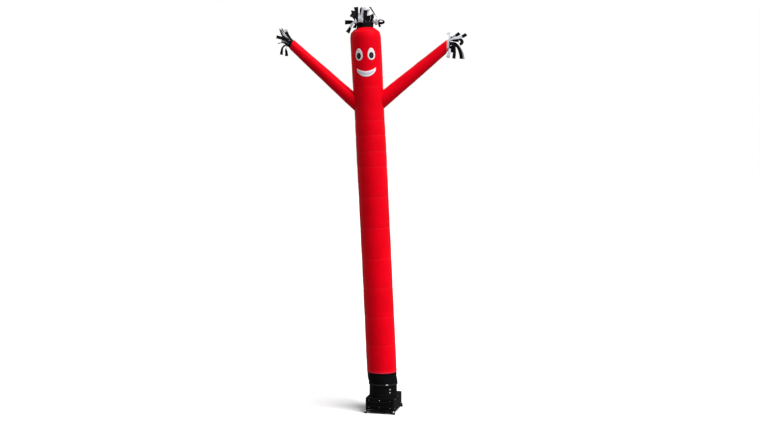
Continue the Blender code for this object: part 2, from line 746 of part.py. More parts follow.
def build_housing(metal):
    """Folded sheet box with round corners, open below."""
    width, depth = HOUSING
    height = HOUSING_TOP - HOUSING_BOTTOM
    middle = (HOUSING_TOP + HOUSING_BOTTOM) / 2
    form = bmesh.new()
    bmesh.ops.create_cube(form, size=1.0, matrix=Matrix.Diagonal((width, depth, height, 1.0)))
    uprights = [edge for edge in form.edges if abs(edge.verts[0].co.z - edge.verts[1].co.z) > height / 2]
    bmesh.ops.bevel(form, geom=uprights, offset=CORNER, segments=3, profile=0.5, affect="EDGES")
    top_rim = [edge for edge in form.edges if min(vert.co.z for vert in edge.verts) > height / 2 - GAP]
    bmesh.ops.bevel(form, geom=top_rim, offset=0.006, segments=2, profile=0.5, affect="EDGES")
    floor = [face for face in form.faces if face.normal.z < -0.9]
    bmesh.ops.delete(form, geom=floor, context="FACES_ONLY")
    housing = add_object("housing", form, metal)
    housing.location = blower_place(0, 0, middle)
    housing.rotation_euler.z = math.radians(BLOWER_YAW)
    wall = housing.modifiers.new("Sheet", "SOLIDIFY")
    wall.thickness = SHEET
    wall.offset = -1.0
    wall.use_even_offset = True
    outlet = [level_ring(OUTLET_RADIUS, HOUSING_TOP + rise, DUCT_SIDES) for rise in (-0.05, 0.05)]
    boolean(housing, loft("outlet_cut", outlet, False, metal), "DIFFERENCE")
    centre = blower_place(0, -depth / 2, WINDOW_MIDDLE)
    window = box_object("window_cut", (WINDOW[0], 0.06, WINDOW[1]), centre, metal)
    window.rotation_euler.z = math.radians(BLOWER_YAW)
    boolean(housing, window, "DIFFERENCE")


def build_louvre(metal):
    """Rectangular rim over the front window, with tilted blades between its sides."""
    front = HOUSING[1] / 2 + GAP + LOUVRE_THICK / 2
    width, height = WINDOW
    turn = math.radians(BLOWER_YAW)
    centre = blower_place(0, -front, WINDOW_MIDDLE)
    size = (width + LOUVRE_RIM, LOUVRE_THICK, height + LOUVRE_RIM)
    rim = box_object("louvre", size, centre, metal, 0.0, turn)
    hole = box_object(
        "louvre_cut", (width - LOUVRE_RIM, LOUVRE_THICK * 3, height - LOUVRE_RIM), centre, metal, 0.0, turn
    )
    boolean(rim, hole, "DIFFERENCE")
    pitch = (height - LOUVRE_RIM) / BLADES
    blades = bmesh.new()
    for step in range(BLADES):
        lift = (step - (BLADES - 1) / 2) * pitch
        place = Matrix.Translation((0, 0, lift)) @ Matrix.Rotation(math.radians(BLADE_TILT), 4, "X")
        size = Matrix.Diagonal((width - LOUVRE_RIM / 2, SHEET, BLADE_DEPTH, 1.0))
        bmesh.ops.create_cube(blades, size=1.0, matrix=place @ size)
    item = add_object("louvre_blades", blades, metal)
    item.location = centre
    item.rotation_euler.z = turn
    boolean(rim, item, "UNION")


def build_frame(metal, bright, rubber):
    """Two rails with rubber feet and bright plugs, two crossbars, and blocks up to the housing."""
    forward = blower_axis(0, 1)
    sideways = blower_axis(1, 0)
    centre_height = FOOT_HEIGHT + TUBE_RADIUS
    half = RAIL_SPREAD / 2
    for side, sign in (("left", -1), ("right", 1)):
        middle = blower_place(sign * half, 0, centre_height)
        rod_object(f"rail_{side}", TUBE_RADIUS, RAIL_LENGTH, middle, forward, metal)
        for end, way in (("front", -1), ("back", 1)):
            reach = way * (RAIL_LENGTH / 2 + GAP + CAP_THICK / 2)
            place = blower_place(sign * half, reach, centre_height)
            rod_object(f"cap_{end}_{side}", TUBE_RADIUS + 0.001, CAP_THICK, place, forward, bright, 16, 0.002)
            reach = way * (RAIL_LENGTH / 2 - FOOT_INSET)
            place = blower_place(sign * half, reach, (FOOT_HEIGHT - GAP) / 2)
            rod_object(
                f"foot_{end}_{side}", FOOT_RADIUS, FOOT_HEIGHT - GAP, place, Vector((0, 0, 1)), rubber, 20
            )
            low = FOOT_HEIGHT + 2 * TUBE_RADIUS + GAP
            high = HOUSING_BOTTOM - GAP
            reach = way * (HOUSING[1] / 2 - BLOCK_INSET)
            place = blower_place(sign * (half - BLOCK[0] / 4), reach, (low + high) / 2)
            box_object(
                f"block_{end}_{side}", (*BLOCK, high - low), place, metal, 0.001, math.radians(BLOWER_YAW)
            )
    for end, way in (("front", -1), ("back", 1)):
        reach = way * (RAIL_LENGTH / 2 - TUBE_RADIUS - CROSSBAR_INSET)
        length = RAIL_SPREAD - 2 * TUBE_RADIUS - 2 * GAP
        place = blower_place(0, reach, centre_height)
        rod_object(f"crossbar_{end}", TUBE_RADIUS, length, place, sideways, metal)


def build_gland(plastic):
    back = blower_axis(0, 1)
    reach = HOUSING[1] / 2 + GAP + GLAND_LENGTH / 2
    place = blower_place(-HOUSING[0] / 4, reach, GLAND_HEIGHT)
    rod_object("gland", GLAND_RADIUS, GLAND_LENGTH, place, back, plastic, 12, 0.003)


def centre_on_base():
    """Moves the model so that its origin is under the middle of its bounding box."""
    graph = bpy.context.evaluated_depsgraph_get()
    corners = []
    for item in bpy.context.scene.objects:
        if item.type != "MESH" or item.hide_render:
            continue
        solid = item.evaluated_get(graph)
        corners += [solid.matrix_world @ vert.co for vert in solid.data.vertices]
    for axis in range(2):
        values = [corner[axis] for corner in corners]
        MODEL.location[axis] = -(min(values) + max(values)) / 2
    MODEL.location[2] = -min(corner.z for corner in corners)


clear_scene()
MODEL = bpy.data.objects.new("model", None)
bpy.context.scene.collection.objects.link(MODEL)


def main():
    red = finish("red nylon", RED, 0.55)
    black = finish("black nylon", BLACK, 0.6)
    white = finish("white nylon", WHITE, 0.55)
    webbing = finish("black webbing", (0.02, 0.02, 0.022), 0.8)
    metal = finish("black painted steel", (0.022, 0.022, 0.024), 0.35)
    rubber = finish("rubber", (0.015, 0.015, 0.015), 0.85)
    bright = finish("bright steel", (0.75, 0.75, 0.77), 0.2, 1.0)
    plastic = finish("black plastic", (0.018, 0.018, 0.02), 0.4)
    trunk = build_trunk(red)
    for side in ARMS:
        build_arm(side, red)
        cut_arm_hole(trunk, side, red)
    build_crown(red)
    build_face(white, black)
    build_streamers(black, white)
    build_duct(metal, webbing, plastic, bright, black)
    build_housing(metal)
    build_louvre(metal)
    build_frame(metal, bright, rubber)
    build_gland(plastic)
    bpy.context.view_layer.update()
    centre_on_base()


main()
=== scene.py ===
"""Looks of the inflatable air dancer: sewn nylon, face patches, streamers and the painted blower.

Every cloth piece is worked out again from the same named sizes as the part's solids, with finer
folds, and replaces its solid. Metres, +Z up, front towards -Y. Heights and places are given about
the duct's axis, which stands at AXIS in the frame.
"""
from math import atan, atan2, cos, exp, hypot, pi, radians, sin, sqrt, tan

import bmesh
import bpy
from mathutils import Matrix, Vector, noise


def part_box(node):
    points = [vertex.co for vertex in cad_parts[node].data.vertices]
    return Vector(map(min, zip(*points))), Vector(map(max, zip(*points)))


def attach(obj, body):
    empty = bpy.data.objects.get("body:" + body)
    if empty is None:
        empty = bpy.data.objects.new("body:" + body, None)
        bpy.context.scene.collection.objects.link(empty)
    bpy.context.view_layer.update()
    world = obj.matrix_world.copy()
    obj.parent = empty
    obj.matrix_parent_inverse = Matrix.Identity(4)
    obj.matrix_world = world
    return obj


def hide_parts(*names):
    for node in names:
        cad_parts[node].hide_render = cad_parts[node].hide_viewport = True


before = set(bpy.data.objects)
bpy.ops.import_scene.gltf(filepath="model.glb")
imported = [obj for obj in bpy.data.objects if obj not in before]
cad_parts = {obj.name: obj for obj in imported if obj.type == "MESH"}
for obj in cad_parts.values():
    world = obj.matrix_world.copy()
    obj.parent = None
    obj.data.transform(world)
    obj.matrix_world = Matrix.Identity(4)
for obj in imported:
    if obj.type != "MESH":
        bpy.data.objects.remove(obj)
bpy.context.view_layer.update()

TURN = 2 * pi
UP = Vector((0, 0, 1))
SIDES = (("left", -1), ("right", 1))
ENDS = (("front", -1), ("back", 1))


def middle_of(node):
    low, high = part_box(node)
    return (low + high) / 2


AXIS = Vector((middle_of("duct").x, middle_of("duct").y, 0.0))

# Camera and light
CAMERA_PLACE = (-0.051, -16.86, 4.144)
CAMERA_PITCH = -3.4
CAMERA_LENS = 50.7
CAMERA_SENSOR = 36.0
FLOOR_SIZE = 240.0
SKY_WHITE = 1.0
SKY_FILL = 0.31
LAMPS = (
    # name, strength, turn, height and softness in degrees
    ("key", 4.6, 52.0, 50.0, 45.0),
    ("rim", 0.35, 242.0, 35.0, 40.0),
)

# Cloth
CLOTH = 0.002
PATCH = 0.0015
LOOSE = 0.0008
GAP = 0.0003
SEAM_REACH = 0.03
THREAD_PITCH = 0.0014
RIPSTOP_PITCH = 0.006
STITCH_ROW = 0.0045
STITCH_PITCH = 0.0045
FELL = (0.0060, 0.0078)
RIB_PITCH = 0.0032

# Trunk
TRUNK_COLUMNS = 96
TRUNK_STEP = 0.024
ROWS_APART = 0.0035
SEAM_STEPS = (-0.034, -0.020, -0.011, -0.005, 0.0, 0.005, 0.011, 0.020, 0.034)
TRUNK_FOOT = 0.642
LEAN_FROM = 0.573
TRUNK_RIM = 5.985
FOOT_OFFSET = -0.018
LEAN = 0.0452
LEAN_GROWTH = 0.00062
LEAN_BEGINS_OVER = 0.4
HEM_HEIGHT = 0.040
HEM_STEP = 0.0015
# Height of the paler pink band at the trunk's foot, a painted highlight along the hem
HEM_HIGHLIGHT_BAND = 0.016
SEAM_DEPTH = 0.0008
SEAM_WIDTH = 0.016
PANEL_CROWN = 0.0020
PUCKER = 0.0016
PUCKER_REACH = 0.055
PUCKERS = (17, 29)
CREASE = 0.0014
CROSS_SEAMS = (1.07, 1.52, 1.98, 2.44, 2.92, 3.40, 3.88, 4.12, 4.37, 4.60, 5.12)
TRUNK_GIRTH = (
    # height, diameter
    (0.642, 0.470),
    (2.300, 0.466),
    (4.200, 0.470),
    (4.800, 0.461),
    (5.250, 0.478),
    (5.600, 0.482),
    (5.985, 0.480),
)
# The head rounds in below its rim
SHOULDER_HEIGHT = 0.105
SHOULDER_DRAW = 0.018
SHOULDER_STEPS = 10

# Crown
CROWN_RISE = 0.095
CROWN_RINGS = 26
CROWN_POLE = 0.03
CROWN_PLEATS = (34, 21)
CROWN_PLEAT = 0.0032
CROWN_SLACK = 0.002
CROWN_GATHERS = 23
CROWN_GATHER = 0.0022
CROWN_GATHER_REACH = 0.030
CROWN_TURN_DOWN = 0.010

# Arms: root and hand are (x, z) about the axis; slant is how far the mouth's upper edge runs ahead
ARM_COLUMNS = 64
ARM_ROWS = 70
ARM_ROW_GROWTH = 1.25
ARM_BULGE = 0.002
SLANT_BEGINS = 0.7
ARM_PUCKERS = 19
ARM_PUCKER_REACH = 0.055
ARM_GATHERS = 15
ARM_GATHER_REACH = 0.05
ARM_PUCKER = 0.0030
ARM_SLACK = 0.0022
ARM_CLEAR = 0.0012
ARMS = {
    "left": {"root": (-0.463, 4.922), "hand": (-1.430, 5.798), "girth": (0.214, 0.150), "slant": 0.30},
    "right": {"root": (-0.004, 4.941), "hand": (0.990, 5.765), "girth": (0.230, 0.158), "slant": 0.83},
}

# Face: bearings are degrees to the right of straight ahead
FACE_BEARING = -4.9
EYE_SPREAD = 23.6
EYE_HEIGHT = 5.627
EYE_SIZE = (0.119, 0.186)
EYE_TAPER = 0.16
PUPIL_SIZE = (0.072, 0.096)
PUPIL_DROP = 0.020
OVAL_COLUMNS = 64
OVAL_RINGS = 10
OVAL_POLE = 0.06
PATCH_PUFF = 0.0007
PUPIL_CLEAR = 0.0011
MOUTH_SPAN = (-40.5, 33.5)
MOUTH_COLUMNS = 72
MOUTH_ROWS = 12
MOUTH_TOP = 5.364
MOUTH_DEPTH = 0.083
MOUTH_CORNER_LIFT = 0.056
MOUTH_TIP = 0.42

# Streamers, as in the solids: root is degrees round the band, right, back and up place the tip
RIBBON = 0.0012
RIBBON_STEPS = 26
RIBBON_COLUMNS = 6
RIBBON_CURL = 0.42
RIBBON_SKEW = 0.35
TWIST_GROWTH = 1.6
RIBBON_FLUTTER = 0.008
BAND = 0.003
BAND_ROWS = 8
BAND_COLUMNS = 12
BAND_RUFFLE = 0.004
BAND_RAGGED = 0.012
ROOT_DEPTH = 0.012
HAIR_FACETS = 16
HAIR_APOTHEM = 0.132
HAIR_BAND_TOP = 0.040
HAIR_BAND_HEIGHT = 0.069
HAIR_WIDTH = (0.047, 0.066)
HAND_FACETS = 8
HAND_BAND_OUT = 0.045
HAND_BAND_IN = 0.030
HAND_WIDTH = (0.042, 0.052)
INNER_BAND = 0.030
INNER_PROUD = 0.018
HAIR_BLACK = (
    # root, right, back, up, rise, lean, fall, arrive, face
    (0.0, 0.205, 0.015, 0.045, 0.17, 45, 0.20, 178, 40),
    (22.5, 0.069, -0.010, 0.298, 0.19, 70, 0.13, 120, 70),
    (67.5, 0.100, 0.215, 0.060, 0.12, 30, 0.06, -30, 25),
    (90.0, 0.010, 0.235, 0.085, 0.13, 25, 0.06, -70, 20),
    (112.5, -0.018, 0.090, 0.272, 0.27, 3, 0.065, -50, 82),
    (135.0, -0.190, 0.140, 0.262, 0.12, 5, 0.10, 100, 12),
    (157.5, -0.143, 0.025, 0.300, 0.12, 3, 0.10, 104, 0),
    (180.0, -0.222, 0.020, 0.186, 0.08, 25, 0.07, 145, 5),
    (202.5, -0.311, -0.035, 0.056, 0.07, 45, 0.13, 180, 0),
    (247.5, -0.160, -0.165, -0.048, 0.08, 55, 0.06, -98, 30),
    (270.0, 0.010, -0.100, 0.238, 0.08, 5, 0.08, 92, 8),
    (292.5, 0.060, -0.122, 0.152, 0.05, 5, 0.04, 88, 0),
    (315.0, 0.104, -0.095, 0.172, 0.06, 4, 0.05, 125, 25),
    (337.5, 0.236, -0.060, -0.018, 0.07, 55, 0.06, -66, 60),
)
HAIR_WHITE = (
    (45.0, 0.225, 0.145, 0.085, 0.08, 20, 0.06, -20, 30),
    (67.5, 0.100, 0.150, 0.140, 0.07, 5, 0.05, 60, 30),
    (90.0, -0.045, 0.150, 0.160, 0.08, 8, 0.05, 110, 30),
    (135.0, -0.120, 0.090, 0.215, 0.10, -6, 0.06, 115, 15),
    (225.0, -0.270, -0.125, -0.112, 0.13, 60, 0.09, -125, 8),
    (247.5, -0.014, -0.060, 0.286, 0.08, 3, 0.12, 80, 12),
    (292.5, 0.058, -0.030, 0.262, 0.09, 0, 0.08, 66, 55),
    (337.5, 0.175, -0.120, 0.004, 0.08, 40, 0.09, -94, 60),
)
LEFT_BLACK = (
    (0, -0.150, -0.040, 0.245, 0.09, 4, 0.08, 115, 62),
    (45, -0.130, 0.110, 0.120, 0.06, 15, 0.05, 150, 25),
    (90, -0.198, 0.075, 0.253, 0.09, 8, 0.11, 107, 80),
    (135, -0.171, 0.050, -0.156, 0.12, 22, 0.08, -97, 20),
    (180, -0.082, 0.005, -0.181, 0.06, 25, 0.11, -86, 10),
    (225, -0.209, -0.060, 0.008, 0.05, 15, 0.08, 204, 72),
    (270, -0.232, -0.075, 0.110, 0.05, 10, 0.09, 171, 8),
    (315, -0.088, -0.080, 0.182, 0.05, 5, 0.06, 126, 5),
)
LEFT_WHITE = (
    (45, -0.105, 0.045, 0.240, 0.07, 0, 0.08, 122, 5),
    (90, -0.165, 0.040, 0.045, 0.05, 0, 0.05, 190, 20),
    (225, -0.095, -0.035, 0.045, 0.03, -5, 0.02, 150, 30),
    (315, -0.168, -0.030, 0.226, 0.06, -4, 0.10, 112, 76),
)
RIGHT_BLACK = (
    (0, 0.085, -0.005, 0.150, 0.04, 0, 0.02, 45, 20),
    (45, 0.190, 0.030, 0.100, 0.06, 0, 0.05, 20, 20),
    (90, 0.235, 0.060, -0.185, 0.15, 0, 0.12, -88, 10),
    (135, 0.165, 0.035, 0.020, 0.06, 0, 0.05, 0, 20),
    (225, 0.078, -0.030, -0.095, 0.07, 5, 0.07, -98, 20),
    (270, 0.107, -0.080, -0.193, 0.10, 0, 0.12, -101, 8),
    (315, 0.200, -0.050, 0.030, 0.12, 0, 0.13, 205, 35),
)
RIGHT_WHITE = (
    (0, 0.026, 0.000, 0.217, 0.06, 18, 0.06, 96, 12),
    (45, 0.207, 0.060, 0.213, 0.08, 6, 0.08, 34, 8),
    (90, 0.266, 0.090, -0.185, 0.18, 6, 0.12, -84, 12),
    (225, 0.014, -0.100, -0.181, 0.05, 30, 0.10, -104, 10),
    (315, 0.302, -0.065, 0.186, 0.09, 4, 0.10, 44, 10),
)
# Ribbons of two colours: how much of one, from its tip, is black
TWO_TONE = {
    ("hair_black", 22.5): 0.42,
    ("hair_white", 225.0): 0.30,
    ("hand_right_white", 45): 0.34,
    ("hand_right_white", 315): 0.26,
}

# Blower
SHARP_ABOVE = 35.0
ROUND_SIDES = 144
TUBE_SIDES = 40
SCREW_SIDES = 24
DUCT_RADIUS = 0.219
DUCT_WALL = 0.0025
BEAD = 0.003
BEAD_HEIGHT = 0.290
BEAD_STEPS = 8
LAP_BEARING = 115.0
LAP_TURNS = (-2.5, -1.2, 0, 1.2, 2.5)
LAP_THICK = 0.0016
RIVETS = 5
RIVET_FOOT = 0.030
RIVET_PITCH = 0.032
FLANGE_RADIUS = 0.2255
FLANGE_THICK = 0.009
STRAP_BOTTOM = 0.441
STRAP_WIDTH = 0.025
STRAP_THICK = 0.002
STRAP_STEPS = 6
BUCKLE_BEARING = 14.0
BUCKLE = (0.056, 0.012, 0.034)
LATCH_BEARING = 28.3
LATCH_HEIGHT = 0.355
LATCH_PLATE = (0.046, 0.003, 0.104)
LATCH_SCREW_RADIUS = 0.010
LATCH_SCREW_HEIGHT = 0.007
LATCH_SCREW_PITCH = 0.049
LATCH_SLOT_TURN = 0.5
BLOWER_TURN = Matrix.Rotation(radians(-13.5), 3, "Z")
BLOWER_SIDE = -0.004
BLOWER_BACK = 0.062
HOUSING = (0.462, 0.600)
HOUSING_BOTTOM = 0.062
HOUSING_TOP = 0.250
HOUSING_SCREW = (0.0045, 0.003)
HOUSING_SCREW_PITCH = 0.22
WINDOW = (0.344, 0.112)
WINDOW_MIDDLE = 0.160
WINDOW_SCREW = (0.0042, 0.003)
TUBE_RADIUS = 0.0125
RAIL_SPREAD = 0.457
RAIL_LENGTH = 0.610
CROSSBAR_INSET = 0.002
FOOT_RADIUS = 0.022
FOOT_HEIGHT = 0.030
FOOT_INSET = 0.022
CAP_THICK = 0.008
CAP_EDGE = 0.003
CAP_RADIUS = TUBE_RADIUS + 0.001
GLAND_RADIUS = 0.013
GLAND_LENGTH = 0.022
GLAND_NUT = 0.009
GLAND_NECK = 0.016
GLAND_HEIGHT = 0.130

# Sleeve
SLEEVE_COLUMNS = 144
SLEEVE_FOLDS = 12
SLEEVE_FOLD = 0.0012
SLEEVE_STEPS = 56
SLEEVE_HEM = 0.006
SLEEVE_CENTRED = 0.560
BUNCH_FROM = 0.470
BUNCH_PITCH = 0.041
BUNCH = 0.0018
BUNCH_SLACK = 0.0022
DUCT_TOP = 0.475
SLEEVE_ROWS = (
    # height, radius
    (0.436, 0.2260),
    (0.470, 0.2265),
    (0.505, 0.2300),
    (0.560, 0.2310),
    (0.600, 0.2310),
    (0.664, 0.2308),
)


# Mesh helpers


def between(rows, at):
    """Straight-line reading of a table of (position, value)."""
    for (low, first), (high, second) in zip(rows, rows[1:]):
        if at <= high:
            return first + (second - first) * (at - low) / (high - low)
    return rows[-1][1]


def smooth(share):
    share = min(1.0, max(0.0, share))
    return share * share * (3 - 2 * share)


def drift(x, y, z=0.0):
    """Slow even noise from -1 to 1, the same on every run."""
    return noise.noise(Vector((x, y, z)))


def around(angle, reach, level=0.0):
    """Slow noise that meets itself after a full turn."""
    return drift(cos(angle) * reach, sin(angle) * reach, level)


def turns(count):
    """Angles of that many even steps round a full turn."""
    return [TURN * step / count for step in range(count)]


def shares(count):
    return [step / count for step in range(count + 1)]


def polar(radius, angle, height=0.0):
    return Vector((radius * cos(angle), radius * sin(angle), height))


def cloth_grid(name, rows, round_about, extra=None):
    """Mesh of a row-by-row grid, with a UV map in metres and any extra values at its points.

    round_about joins the last column to the first. extra maps an attribute's name to its rows.
    """
    columns = len(rows[0])
    mesh = bpy.data.meshes.new(name)
    points = [point + AXIS for row in rows for point in row]
    faces = []
    reach = columns if round_about else columns - 1
    for low in range(len(rows) - 1):
        for here in range(reach):
            there = (here + 1) % columns
            base = low * columns
            faces.append((base + here, base + there, base + columns + there, base + columns + here))
    mesh.from_pydata(points, [], faces)
    ups = [0.0]
    for lower, upper in zip(rows, rows[1:]):
        ups.append(ups[-1] + (upper[0] - lower[0]).length)
    centre_row = rows[len(rows) // 2]
    width = sum((a - b).length for a, b in zip(centre_row, centre_row[1:] + centre_row[:1])) / columns
    layer = mesh.uv_layers.new(name="cloth")
    corner = 0
    for low in range(len(rows) - 1):
        for here in range(reach):
            for column, row in ((here, low), (here + 1, low), (here + 1, low + 1), (here, low + 1)):
                layer.data[corner].uv = (column * width, ups[row])
                corner += 1
    for key, values in (extra or {}).items():
        attribute = mesh.attributes.new(key, "FLOAT", "POINT")
        attribute.data.foreach_set("value", [value for row in values for value in row])
    mesh.shade_smooth()
    return put(name, mesh)


def close_last_row(item, columns):
    """Fills the hole that the last row of a round grid leaves."""
    form = bmesh.new()
    form.from_mesh(item.data)
    first = len(form.verts) - columns
    rim = [edge for edge in form.edges if edge.is_boundary and edge.verts[0].index >= first]
    bmesh.ops.contextual_create(form, geom=rim)
    form.to_mesh(item.data)
    form.free()


def put(name, data):
    """New object of that data, in the scene."""
    item = bpy.data.objects.new(name, data)
    bpy.context.scene.collection.objects.link(item)
    return item


def thicken(item, thickness, offset=-1.0):
    sheet = item.modifiers.new("Thickness", "SOLIDIFY")
    sheet.thickness = thickness
    sheet.offset = offset
    sheet.use_even_offset = True
    return item


def dress(item, look, *nodes):
    """Gives a piece the material of a look, lets it stand for its nodes and ride on the body."""
    slot_name, material = LOOKS[look]
    item.data.materials.append(material)
    if nodes:
        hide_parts(*nodes)
    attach(item, "root")


def sew(name, rows, closed, seam, look, node, thickness=CLOTH, pole=False):
    """One cloth piece from its rows, with its pole closed where the rows end in one."""
    item = cloth_grid(name, rows, closed, {"seam": seam})
    if pole:
        close_last_row(item, len(rows[0]))
    thicken(item, thickness)
    dress(item, look, node)
    return item


# Materials


class Finish:
    """A procedural material that is built up node by node."""

    def __init__(self, name, colour, roughness, metallic=0.0):
        self.material = bpy.data.materials.new(name)
        self.material.use_nodes = True
        self.tree = self.material.node_tree
        self.shader = self.tree.nodes["Principled BSDF"]
        self.set(Base_Color=(*colour, 1.0), Roughness=roughness, Metallic=metallic)
        self.material.diffuse_color = (*colour, 1.0)
        self.normal = None

    def node(self, kind, **settings):
        made = self.tree.nodes.new(kind)
        for key, value in settings.items():
            if hasattr(made, key):
                setattr(made, key, value)
            else:
                self.feed(made.inputs[key.replace("_", " ")], value)
        return made

    def feed(self, socket, value):
        if isinstance(value, bpy.types.NodeSocket):
            self.tree.links.new(value, socket)
        else:
            socket.default_value = value

    def maths(self, operation, first, second=0.0, third=0.0):
        made = self.tree.nodes.new("ShaderNodeMath")
        made.operation = operation
        for socket, value in zip(made.inputs, (first, second, third)):
            self.feed(socket, value)
        return made.outputs[0]

    def along_cloth(self):
        """The two cloth directions, in metres, from the UV map."""
        uv = self.node("ShaderNodeUVMap", uv_map="cloth")
        split = self.node("ShaderNodeSeparateXYZ", Vector=uv.outputs["UV"])
        return split.outputs["X"], split.outputs["Y"]

    def mesh_value(self, name):
        return self.node("ShaderNodeAttribute", attribute_name=name).outputs["Fac"]

    def place(self):
        return self.node("ShaderNodeTexCoord").outputs["Object"]

    def noise(self, scale, detail=3.0, rough=0.5, distortion=0.0, where=None):
        settings = {"Scale": scale, "Detail": detail, "Roughness": rough, "Distortion": distortion}
        return self.node("ShaderNodeTexNoise", Vector=where or self.place(), **settings).outputs["Fac"]

    def spread(self, value, low, high, to_low=0.0, to_high=1.0):
        made = self.tree.nodes.new("ShaderNodeMapRange")
        for socket, number in zip(made.inputs, (value, low, high, to_low, to_high)):
            self.feed(socket, number)
        return made.outputs["Result"]

    def tint(self, factor, first, second):
        made = self.tree.nodes.new("ShaderNodeMix")
        made.data_type = "RGBA"
        self.feed(made.inputs["Factor"], factor)
        for socket, value in ((made.inputs[6], first), (made.inputs[7], second)):
            self.feed(socket, (*value, 1.0) if isinstance(value, tuple) and len(value) == 3 else value)
        return made.outputs[2]

    def bump(self, height, depth, strength=1.0):
        """Adds a relief of that depth, in metres, over those added before."""
        made = self.node("ShaderNodeBump", Height=height, Distance=depth, Strength=strength)
        if self.normal:
            self.feed(made.inputs["Normal"], self.normal)
        self.normal = made.outputs["Normal"]
        self.set(Normal=self.normal)

    def set(self, **values):
        for key, value in values.items():
            self.feed(self.shader.inputs[key.replace("_", " ")], value)


def shifted(colour, times, plus=0.0):
    return tuple(channel * times + plus for channel in colour)


def wave(finish, along, pitch):
    """Even wave from 0 to 1 along one direction."""
    phase = finish.maths("MULTIPLY", along, TURN / pitch)
    return finish.maths("MULTIPLY_ADD", finish.maths("SINE", phase), 0.5, 0.5)


def nylon(name, colour, roughness, seams=False, ends=None, inner=None, shine=0.3, gloss=(1.0, 1.0, 1.0)):
    """Plain-woven nylon with a ripstop grid, fine crumpling and, where it has seams, their stitches.

    ends is a second colour where the piece's "end" value is 1; inner is a colour that begins and is
    full at two distances in from the edge.
    """
    finish = Finish(name, colour, roughness)
    across, along = finish.along_cloth()
    shade = finish.noise(2.3, 4.0, 0.6)
    base = finish.tint(finish.spread(shade, 0.35, 0.65), shifted(colour, 0.86), colour)
    crumple = finish.noise(11.0, 5.0, 0.62, 0.8)
    finish.bump(crumple, 0.010, 0.35)
    finish.bump(finish.noise(60.0, 3.0, 0.5), 0.0012, 0.4)
    weave = finish.maths("MULTIPLY", *(wave(finish, way, THREAD_PITCH) for way in (across, along)))
    ridges = (finish.maths("POWER", wave(finish, way, RIPSTOP_PITCH), 24.0) for way in (across, along))
    ridges = finish.maths("MAXIMUM", *ridges)
    finish.bump(finish.maths("MULTIPLY_ADD", ridges, 0.8, weave), 0.00018, 0.35)
    if inner:
        shade, begins, full = inner
        base = finish.tint(finish.spread(finish.mesh_value("seam"), begins, full), base, shade)
    if seams:
        gap = finish.maths("ABSOLUTE", finish.mesh_value("seam"))
        off = finish.maths("ABSOLUTE", finish.maths("SUBTRACT", gap, STITCH_ROW))
        row = finish.spread(off, 0.0004, 0.0012, 1.0, 0.0)
        dash = finish.spread(wave(finish, across, STITCH_PITCH), 0.25, 0.45)
        stitch = finish.maths("MULTIPLY", row, dash)
        felled = finish.spread(gap, *FELL, 1.0, 0.0)
        finish.bump(felled, 0.0007, 0.6)
        finish.bump(stitch, 0.0005, 0.7)
        # Painted highlight: the felled band beside each seam is painted a little lighter, where its ridge
        # would catch the light
        base = finish.tint(finish.maths("MULTIPLY", felled, 0.22), base, shifted(colour, 1.04, 0.02))
        base = finish.tint(finish.maths("MULTIPLY", stitch, 0.30), base, shifted(colour, 0.55))
    if ends:
        base = finish.tint(finish.spread(finish.mesh_value("end"), 0.45, 0.55), base, ends)
    rough = finish.spread(crumple, 0.3, 0.7, roughness - 0.06, roughness + 0.07)
    finish.set(Base_Color=base, Roughness=rough, Specular_IOR_Level=shine, Specular_Tint=(*gloss, 1.0))
    return finish.material


def painted(name, colour, roughness):
    """Powder coat: fine orange peel, dust that lies on it and wear."""
    finish = Finish(name, colour, roughness)
    finish.bump(finish.noise(260.0, 2.0, 0.5), 0.0004, 0.35)
    worn = finish.noise(9.0, 6.0, 0.7, 0.4)
    base = finish.tint(finish.spread(worn, 0.45, 0.75, 0.0, 0.5), colour, shifted(colour, 1.9, 0.001))
    rough = finish.spread(worn, 0.3, 0.7, roughness - 0.08, roughness + 0.14)
    finish.set(Base_Color=base, Roughness=rough, Specular_IOR_Level=0.08)
    return finish.material


def moulded(name, colour, roughness, grain=340.0):
    """Moulded plastic or rubber with a fine grain."""
    finish = Finish(name, colour, roughness)
    finish.bump(finish.noise(grain, 2.0, 0.5), 0.0004, 0.4)
    smear = finish.noise(22.0, 3.0, 0.6)
    rough = finish.spread(smear, 0.3, 0.7, roughness - 0.07, roughness + 0.1)
    base = finish.tint(smear, colour, shifted(colour, 1.5, 0.001))
    finish.set(Base_Color=base, Roughness=rough, Specular_IOR_Level=0.25)
    return finish.material


def steel(name, colour, roughness):
    """Bright steel with fine scratches."""
    finish = Finish(name, colour, roughness, 1.0)
    where = finish.node("ShaderNodeMapping", Vector=finish.place(), Scale=(1.0, 1.0, 14.0))
    scratch = finish.noise(90.0, 4.0, 0.6, 0.0, where.outputs["Vector"])
    finish.bump(scratch, 0.0003, 0.3)
    finish.set(Roughness=finish.spread(scratch, 0.3, 0.7, roughness - 0.05, roughness + 0.12))
    return finish.material


def woven_band(name, colour):
    """Webbing: slanted ribs that cross, and a little fuzz."""
    finish = Finish(name, colour, 0.75)
    across, along = finish.along_cloth()
    rib = wave(finish, finish.maths("ADD", across, along), RIB_PITCH)
    cross = wave(finish, finish.maths("SUBTRACT", across, along), RIB_PITCH)
    finish.bump(finish.maths("MAXIMUM", rib, cross), 0.0006, 0.7)
    fuzz = finish.noise(400.0, 2.0)
    base = finish.tint(finish.maths("MULTIPLY", rib, 0.6), colour, shifted(colour, 1.8, 0.001))
    base = finish.tint(finish.maths("MULTIPLY", fuzz, 0.3), base, shifted(colour, 3.0))
    finish.set(Base_Color=base, Specular_IOR_Level=0.2)
    return finish.material


